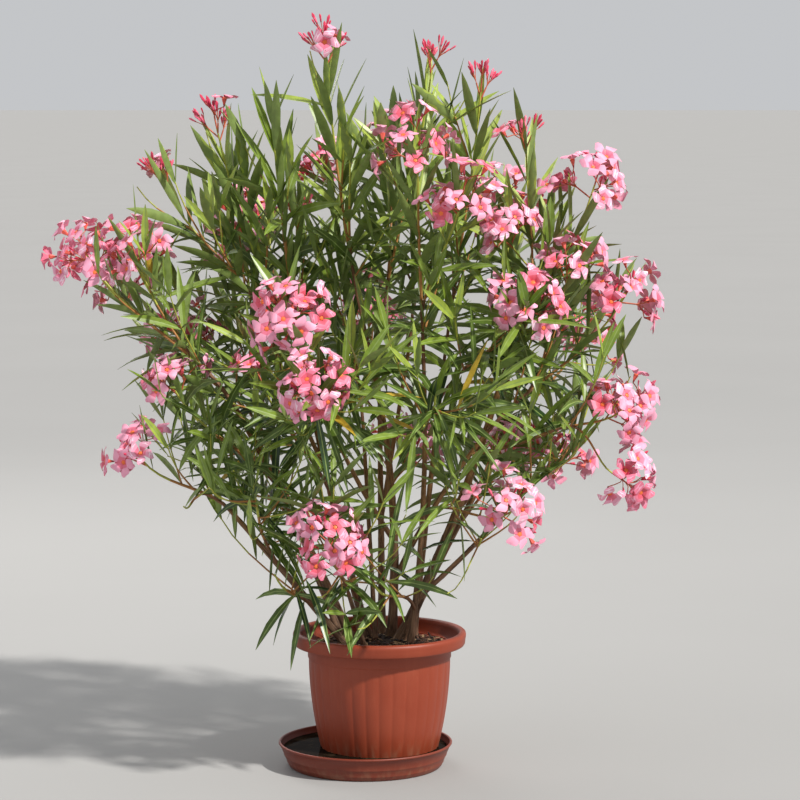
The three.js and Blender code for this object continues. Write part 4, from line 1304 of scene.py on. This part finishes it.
@dataclass
class BloomRule:
    """How flowers and buds stand on a head, and their shapes.

    The stalk radii are a spray's, a flower's and a bud's. A fan is the least angle off the spray and what
    a draw may add to it, in degrees, with its own for the buds of a bud head.
    """

    reach: float = 78.0
    bud_reach: float = 72.0
    reach_varies: float = 0.15
    spacing: float = 9.0
    first: float = 2.0
    ring_few: float = 42.0
    ring_many: float = 68.0
    alone: int = 3
    bud_fan: float = 0.55
    petals: int = 5
    petal_length: float = 23.0
    petal_width: float = 10.8
    petal_skew: float = 2.6
    mouth: float = 5.0
    tube: float = 19.0
    bud_length: float = 27.0
    flowers_each: float = 3.2
    buds_each: float = 2.6
    buds_on_bud: float = 8.0
    stalk_share: float = 0.42
    stalk_radii: tuple[float, float, float] = (1.7, 1.1, 0.8)
    opened_share: float = 0.45
    flower_fan: Pair = (24.0, 22.0)
    bud_fans: Pair = (14.0, 30.0)
    crest_fans: Pair = (8.0, 30.0)
    looks_out: float = 0.3
    looks_astray: float = 0.3
    mouth_fan: float = 0.72
    bud_rise: float = 0.2
    tone_steps: Pair = (0.4, 0.62)
    crimson_share: float = 0.6

    def axes(self, shoot: Shoot, stream: SeededStream) -> list[tuple[Array, Array, float]]:
        """Foot, direction and reach of each small spray of a head, by the solids' rule and draws.

        Args:
            shoot: The shoot that ends in the head.
            stream: The mass's own stream.

        Returns:
            One entry for each spray.
        """
        is_bud = shoot.head is Head.BUD
        tangent = shoot.curve.tangent(1.0)
        side, other = cross_axes(tangent)
        in_middle = 1 if shoot.blooms > self.alone else 0
        ring = math.radians(self.ring_many if in_middle else self.ring_few) * (self.bud_fan if is_bud else 1)
        start = stream() * math.tau
        sprays = []
        for order in range(shoot.blooms):
            hub = shoot.curve.point(1 - (self.first + order * self.spacing) / shoot.curve.length)
            fan = 0.0 if order < in_middle else ring
            turn = start + (order - in_middle) / (shoot.blooms - in_middle) * math.tau
            reach = (self.bud_reach if is_bud else self.reach) * (1 + swung(stream(), self.reach_varies))
            sprays.append((hub, unit(tilted(tangent, around(side, other, np.array(turn)), fan)), reach))
        return sprays

    def petal_pattern(self) -> Pattern:
        """Faces of one petal: throat, blade and edge bands, and its underside."""
        return tube_pattern(5, 3, lambda ring, side: (0, 1, 2, 2)[ring] if side < 2 else 3)

    def flower_points(self, mouth: Array, axis: Array, turn: Array, size: Array, cup: Array) -> Array:
        """Corners of the petals.

        Each petal runs out from the mouth along a spoke. It is narrow at the throat and widest near its
        slanting end, swings sideways by a square law like a pinwheel's arm, lifts one edge over its
        neighbour, and rises by the cup and then falls back.

        Args:
            mouth: Places of the flowers' mouths.
            axis: Directions that they face.
            turn: Angles round the axis.
            size: Factors on the petals' length.
            cup: Height to which the petals rise.

        Returns:
            An array of petals by corners by 3, in millimetres.
        """
        share = np.array([0.0, 0.3, 0.62, 0.88, 1.0])[None, :, None]
        half = np.array([0.34, 0.76, 1.02, 1.0, 0.6])[None, :, None] * self.petal_width
        flowers = (mouth, axis, turn, size, cup)
        mouth, axis, turn, size, cup = (np.repeat(each, self.petals, axis=0) for each in flowers)
        own = np.random.default_rng(len(mouth)).normal(size=(3, len(mouth)))
        order = np.tile(np.arange(self.petals), len(mouth) // self.petals)
        angle = turn + order / self.petals * math.tau + 0.09 * own[0]
        size, cup = size * (1 + 0.07 * own[1]), cup + 1.8 * own[2]
        spoke, across = (around(*cross_axes(axis), angle + more)[:, None] for more in (0, math.pi / 2))
        axis, size, cup = axis[:, None], size[:, None, None], cup[:, None, None]
        along = self.mouth + self.petal_length * share * size
        swing = 5.0 * share ** 2 * size
        rise = cup * np.sin(share * math.pi * 0.8) - 2.5 * share ** 2
        centre = mouth[:, None] + spoke * along + across * swing + axis * rise
        lift = axis * 1.5 * share + spoke * self.petal_skew * share ** 3
        edges = [across * half * size + lift, axis * 0.9 * (1 - 0.6 * share), -across * half * size - lift]
        return (centre[:, :, None] + np.stack(np.broadcast_arrays(*edges), axis=2)).reshape(len(mouth), -1, 3)

    def turned_points(self, start: Array, axis: Array, rings: Sequence[Pair],
                      sides: int, size: Array) -> Array:
        """Corners of small turned shapes, each ring a circle at a distance along the axis.

        Args:
            start: Places where the shapes start.
            axis: Directions that they run in.
            rings: Distance and radius of each ring.
            sides: Corners of a ring.
            size: Factors on the shapes.

        Returns:
            An array of shapes by corners by 3, in millimetres.
        """
        side, other = cross_axes(axis)
        circle = around(side[:, None], other[:, None], full_turn(sides)[None])
        size = size[:, None, None]
        loops = [start[:, None] + axis[:, None] * distance * size + circle * radius * size
                 for distance, radius in rings]
        return np.concatenate(loops, axis=1)


@dataclass
class Foliage:
    """The leaves, twigs, flowers and buds, joined by kind and region of the crown."""

    crown: Crown
    limbs: Limbs
    shoots_by_rule: ShootRule = field(default_factory=ShootRule)
    leaves_by_rule: LeafRule = field(default_factory=LeafRule)
    blooms_by_rule: BloomRule = field(default_factory=BloomRule)

    # The young and dark leaf tints are dealt out by height in the crown. They are partly the leaves' own
    # colour by age and partly painted light and painted shade.
    leaf_skins: tuple = (
        ("leaf_young", (152, 170, 70), 0.38), ("leaf_fresh", (112, 134, 46), 0.34),
        ("leaf_mature", (78, 101, 34), 0.34), ("leaf_dark", (50, 75, 38), 0.34),
        ("leaf_rib", (130, 150, 80), 0.42), ("leaf_underside", (118, 138, 70), 0.55),
        ("leaf_yellow", (190, 160, 50), 0.5),
    )
    twig_skins: tuple = (
        ("twig_green", (172, 176, 72), 0.5), ("twig_ochre", (172, 120, 64), 0.6),
        ("twig_brown", (122, 84, 56), 0.7),
    )
    blossom_skins: tuple = (
        ("petal_deep", (218, 86, 106), 0.55, 0.08), ("petal_salmon", (228, 118, 144), 0.55, 0.08),
        ("petal_light", (238, 162, 188), 0.55, 0.06), ("petal_pale", (250, 214, 228), 0.55, 0.05),
        ("petal_throat", (238, 118, 58), 0.5, 0.1), ("flower_tube", (226, 98, 84), 0.5, 0.1),
        ("flower_calyx", (150, 44, 50), 0.5, 0.12), ("flower_stalk", (190, 98, 70), 0.55, 0.12),
        ("bud_crimson", (208, 58, 90), 0.45, 0.12), ("bud_rose", (234, 106, 134), 0.45, 0.1),
    )

    oldest: float = 2.6
    younger_out: float = 1.4
    # Lightening up the crown: partly the younger leaves there, partly painted light high and painted shade
    # low.
    younger_and_painted_lit_up: float = 1.9
    shoot_varies: float = 1.4
    leaf_varies: float = 0.8
    yellow_share: float = 0.004

    def grow_mass(self, order: int, plan: MassPlan) -> tuple[list[Shoot], list[tuple]]:
        """All shoots and flower sprays of one mass.

        Args:
            order: The mass's number, which seeds its draws.
            plan: Its plan.

        Returns:
            The shoots, and each spray with its shoot.
        """
        rule, stream = self.shoots_by_rule, SeededStream(order + 1)
        random = np.random.default_rng(1000 + order)
        shoots = rule.grow_heads(plan, self.limbs.limbs[plan.on])
        sprays = [(shoot, *spray) for shoot in shoots if shoot.blooms
                  for spray in self.blooms_by_rule.axes(shoot, stream)]
        leader, *branches = list(shoots)
        finer = rule.grow_twigs(plan, leader, stream)
        finer += rule.grow_finer(leader, 0, random)
        for branch in branches:
            finer += rule.grow_finer(branch, 1, random)
        tips = np.array([shoot.curve.controls[-1] for shoot in finer])
        middles = np.array([shoot.curve.point(0.6) for shoot in finer])
        kept = self.crown.holds(tips) & self.crown.clears_pot(tips) & self.crown.clears_limbs(middles)
        return shoots + [shoot for shoot, keep in zip(finer, kept) if keep], sprays

    def add_twigs(self, mesh: JoinedMesh, shoots: Sequence[Shoot]) -> None:
        """Adds a tapering rod for each shoot, with its colour dealt by its age and distance from the tip."""
        for shoot in shoots:
            rings = 10 if shoot.age > 0.6 else 6
            pattern = tube_pattern(rings, 6, lambda ring, side: ring)
            radii = ramp(*shoot.radii, np.linspace(0, 1, rings))
            tone = shoot.age * 2.4 * (1 - np.arange(rings - 1) / (rings - 1)) ** 1.5
            table = np.clip(np.round(tone), 0, 2).astype(int)[None, :]
            mesh.add(rod_points(shoot.curve, radii, 6) * MM, pattern, table)

    def add_leaves(self, mesh: JoinedMesh, shoots: Sequence[Shoot], random: np.random.Generator) -> int:
        """Adds the leaves of the shoots.

        Args:
            mesh: The mesh that they join.
            shoots: The shoots that bear them.
            random: Where the draws come from.

        Returns:
            How many there are.
        """
        rule = self.leaves_by_rule
        sets = [rule.roots(shoot, random) for shoot in shoots]
        leaf = {key: np.concatenate([one[key] for one in sets]) for key in sets[0]}
        spray = np.repeat(random.random(len(shoots)), [len(one["share"]) for one in sets])
        kept = self.crown.holds(leaf["end"]) & self.crown.clears_pot(leaf["end"])
        kept &= self.crown.clears_pot(leaf["middle"]) & self.crown.clears_limbs(leaf["middle"])
        kept &= self.crown.clears_limbs(leaf["end"])
        kept &= ~self.crown.is_bare_heart(leaf["middle"], random.random(len(kept)))
        leaf = {key: values[kept] for key, values in leaf.items()}
        # The tone picks each leaf's family, lighter towards the shoot tips and up the crown. The part by
        # height is partly the leaves' age and partly painted light in the high crown and painted shade in the
        # low crown.
        height = (leaf["root"][:, 2] - 500) / 1100
        tone = (self.oldest - self.younger_out * leaf["share"] - self.younger_and_painted_lit_up * height
                + self.shoot_varies * (spray[kept] - 0.5)
                + self.leaf_varies * (random.random(kept.sum()) - 0.5))
        family = np.clip(np.round(tone), 0, 3).astype(int)
        family[random.random(len(family)) < self.yellow_share] = 6
        table = np.stack([family, np.full_like(family, 4), np.full_like(family, 5)], axis=1)
        table[family == 6] = 6
        mesh.add(rule.points(leaf, random), rule.pattern, table)
        return len(family)

    def add_sprays(self, mesh: JoinedMesh, sprays: Sequence[tuple],
                   random: np.random.Generator) -> tuple[int, int]:
        """Adds the flowers and buds of the sprays, on their stalks.

        Args:
            mesh: The mesh that they join.
            sprays: Shoot, foot, direction and reach of each.
            random: Where the draws come from.

        Returns:
            How many flowers and how many buds there are.
        """
        rule = self.blooms_by_rule
        thick, middling, thin = rule.stalk_radii
        flowers, buds = [], []
        for shoot, hub, axis, reach in sprays:
            fork = hub + axis * reach * rule.stalk_share
            self.add_stalk(mesh, hub, axis, fork, thick)
            is_bud = shoot.head is Head.BUD
            opened = int(is_bud and random.random() < rule.opened_share)
            flower_count = opened + (not is_bud) * int(rule.flowers_each + random.random())
            bud_count = int((rule.buds_on_bud if is_bud else rule.buds_each) + random.random())
            side, other = cross_axes(axis)
            start = random.random() * math.tau
            for order in range(flower_count):
                fan = math.radians(rule.flower_fan[0] + rule.flower_fan[1] * random.random())
                outward = around(side, other, np.array(start + order / flower_count * math.tau))
                facing = unit(tilted(axis, outward, fan) + rule.looks_out * unit(hub - self.heart(hub))
                              + rule.looks_astray * random.normal(size=3))
                stand = reach * (0.8 + 0.4 * random.random())
                mouth = hub + unit(tilted(axis, outward, fan * rule.mouth_fan)) * stand
                flowers.append((mouth, facing, random.random() * 6.28, 0.9 + 0.2 * random.random(),
                                2 + 10 * random.random(), random.random()))
                self.add_stalk(mesh, fork, axis, mouth - facing * rule.tube, middling)
            least, more = rule.crest_fans if is_bud else rule.bud_fans
            for _ in range(bud_count):
                fan = math.radians(least + more * random.random())
                outward = around(side, other, np.array(random.random() * math.tau))
                lean = unit(tilted(axis, outward, fan) + UP * rule.bud_rise)
                size = 0.5 + 0.5 * random.random()
                base = fork + lean * (14 + 22 * random.random())
                buds.append((base, lean, size, random.random()))
                self.add_stalk(mesh, fork, axis, base, thin)
        self.add_flowers(mesh, flowers)
        self.add_buds(mesh, buds)
        return len(flowers), len(buds)

    def heart(self, place: Array) -> Array:
        """The place inside the crown that a flower at a place looks away from."""
        return np.array([self.crown.lean, 60.0, min(place[2] - 120, 900.0)])

    def add_stalk(self, mesh: JoinedMesh, start: Array, leaving: Array, end: Array, radius: float) -> None:
        """Adds one thin stalk that leaves along a direction and bends to its end."""
        distance = float(np.linalg.norm(end - start))
        curve = BezierCurve(start, start + leaving * distance * 0.45, end)
        mesh.add(rod_points(curve, np.full(4, radius), 4) * MM, tube_pattern(4, 4), 7)

    def add_flowers(self, mesh: JoinedMesh, rows: list[tuple]) -> None:
        """Adds petals, tube and throat of each flower, in one of three tones."""
        if not rows:
            return
        rule = self.blooms_by_rule
        mouth, axis, turn, size, cup, tone = (np.array(column) for column in zip(*rows))
        tones = np.array([[1, 2, 3], [0, 1, 2], [1, 2, 2]])[np.digitize(tone, rule.tone_steps)]
        table = np.repeat(tones[:, [0, 1, 2, 1]], rule.petals, axis=0)
        mesh.add(rule.flower_points(mouth, axis, turn, size, cup) * MM, rule.petal_pattern(), table)
        rings = ((0, 1.6), (5, 2.4), (rule.tube - 1, 6.4))
        tube = rule.turned_points(mouth - axis * rule.tube, axis, rings, 5, size)
        mesh.add(tube * MM, tube_pattern(3, 5, lambda ring, side: ring), np.array([[6, 5]]))
        throat = rule.turned_points(mouth - axis * 2, axis, ((0, 5.4), (2.6, 4.4), (3.4, 1.0)), 5, size)
        mesh.add(throat * MM, tube_pattern(3, 5), 4)

    def add_buds(self, mesh: JoinedMesh, rows: list[tuple]) -> None:
        """Adds each bud: a spindle from its calyx to its point."""
        if not rows:
            return
        rule = self.blooms_by_rule
        base, axis, size, tone = (np.array(column) for column in zip(*rows))
        length = rule.bud_length
        rings = ((0, 1.4), (5, 2.6), (length * 0.42, 2.9), (length * 0.76, 3.8), (length, 0.6))
        table = np.stack([np.full(len(rows), 6), np.where(tone < rule.crimson_share, 8, 9)], axis=1)
        mesh.add(rule.turned_points(base, axis, rings, 5, size) * MM,
                 tube_pattern(5, 5, lambda ring, side: min(ring, 1)), table)

    def build(self) -> None:
        """Grows every mass and joins its leaves, twigs and blossom by region."""
        leaf_materials, twig_materials = make_skins(*self.leaf_skins), make_skins(*self.twig_skins)
        blossom_materials = make_skins(*self.blossom_skins)
        for region in Region:
            names = [name for name in MASS_PLANS if Region.of(name) is region]
            leaves, twigs, blossom = JoinedMesh(), JoinedMesh(), JoinedMesh()
            counts = np.zeros(3, int)
            for name in names:
                order = list(MASS_PLANS).index(name)
                random = np.random.default_rng(5000 + order)
                shoots, sprays = self.grow_mass(order, MASS_PLANS[name])
                self.add_twigs(twigs, shoots)
                leaf_count = self.add_leaves(leaves, shoots, random)
                counts += np.array([leaf_count, *self.add_sprays(blossom, sprays, random)])
            LOG.info("%s: %d leaves, %d flowers, %d buds", region.value, *counts)
            for kind, mesh, materials, crease in (
                    ("leaves", leaves, leaf_materials, 60), ("twigs", twigs, twig_materials, 60),
                    ("blossom", blossom, blossom_materials, 50)):
                enlist(mesh.finish(f"{kind}_{region.value}", materials, crease), "foliage", *names)


# Studio

@dataclass
class Studio:
    """The plain floor, the soft lights and the camera at the photograph's angle."""

    lens: float = 129.4
    sensor: float = 36.0
    camera_place: Point = (0.076, -6.206, 1.453)
    camera_pitch: float = 5.96
    floor_half: float = 400.0
    floor_tones: tuple[Colour, Colour] = ((0.335, 0.332, 0.327), (0.36, 0.357, 0.352))
    sky: tuple[float, float, float, float] = (0.95, 0.97, 1.0, 1.0)
    sky_strength: float = 0.58
    lights: tuple = (
        ("key", "SUN", (2.9, -2.3, 4.5), 0.06, 4.3, (1.0, 0.97, 0.92)),
        ("fill", "AREA", (-3.6, -3.0, 2.4), 3.2, 14.0, (0.92, 0.96, 1.0)),
        ("back", "AREA", (-1.4, 3.8, 3.6), 2.6, 60.0, (1.0, 0.98, 0.95)),
    )

    def build(self) -> None:
        """Builds floor, lights, sky and camera."""
        graph = Graph("studio_floor", {"Roughness": 0.85})
        clouds = graph.noise(graph.place(), 0.8, 3)
        graph.feed(graph.shader, "Base Color", graph.blend(clouds, *self.floor_tones))
        corners = self.floor_half * np.array([[[-1.0, -1, 0], [1, -1, 0], [1, 1, 0], [-1, 1, 0]]])
        solo_piece("studio_floor", corners, Pattern([(0, 1, 2, 3)], [0], 4), [graph.material], 30)
        for name, kind, place, size, power, colour in self.lights:
            light = bpy.data.lights.new(f"light_{name}", kind)
            light.energy, light.color = power, colour
            if kind == "SUN":
                light.angle = size
            else:
                light.shape, light.size = "DISK", size
            lamp = linked(f"light_{name}", light)
            aim = Vector((0, 0, 0.8)) - Vector(place)
            lamp.matrix_world = Matrix.Translation(place) @ aim.to_track_quat("-Z", "Y").to_matrix().to_4x4()
        world = bpy.data.worlds.new("studio_sky")
        world.use_nodes = True
        colour, strength = world.node_tree.nodes["Background"].inputs[:2]
        colour.default_value, strength.default_value = self.sky, self.sky_strength
        bpy.context.scene.world = world
        bpy.context.scene.view_settings.view_transform = "Standard"
        camera = bpy.data.cameras.new("photo_angle")
        camera.lens, camera.sensor_width, camera.clip_end = self.lens, self.sensor, 1000
        view = linked("photo_angle", camera)
        turn = Matrix.Rotation(math.radians(90 - self.camera_pitch), 4, "X")
        view.matrix_world = Matrix.Translation(self.camera_place) @ turn
        bpy.context.scene.camera = view


def main() -> None:
    logging.basicConfig(level=logging.INFO, format="%(name)s %(message)s")
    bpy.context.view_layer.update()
    Studio().build()
    shell = PlasticFinish("pot_plastic", *shades((138, 55, 30), (150, 67, 42), (150, 112, 86)),
                          dust_top=0.09, dust_share=0.5, roughness=0.42)
    dish = PlasticFinish("saucer_plastic", *shades((112, 44, 26), (126, 55, 36), (128, 92, 70)),
                         dust_top=0.04, dust_share=0.45, roughness=0.38)
    # The water's near-black colour is partly its own and partly painted shade.
    water = WaterFinish("standing_water", *shades((26, 19, 14), (78, 66, 50)))
    earth = CompostFinish("compost", *shades((38, 26, 20), (66, 46, 34), (104, 78, 54)))
    bark = BarkFinish("bark", *shades((116, 88, 68), (146, 108, 60), (60, 43, 33), (172, 146, 116)))
    chips = make_skins(("chip_brown", (84, 54, 38), 0.9), ("chip_dark", (44, 30, 24), 0.9),
                       ("chip_pale", (150, 122, 90), 0.9))
    pot, limbs = Pot(), Limbs()
    Saucer(pot).build(dish.make(), water.make())
    pot.build(shell.make())
    Compost(pot).build(earth.make(), chips)
    limbs.build(bark.make())
    Foliage(Crown(limbs, pot), limbs).build()


if __name__ == "__main__":
    main()
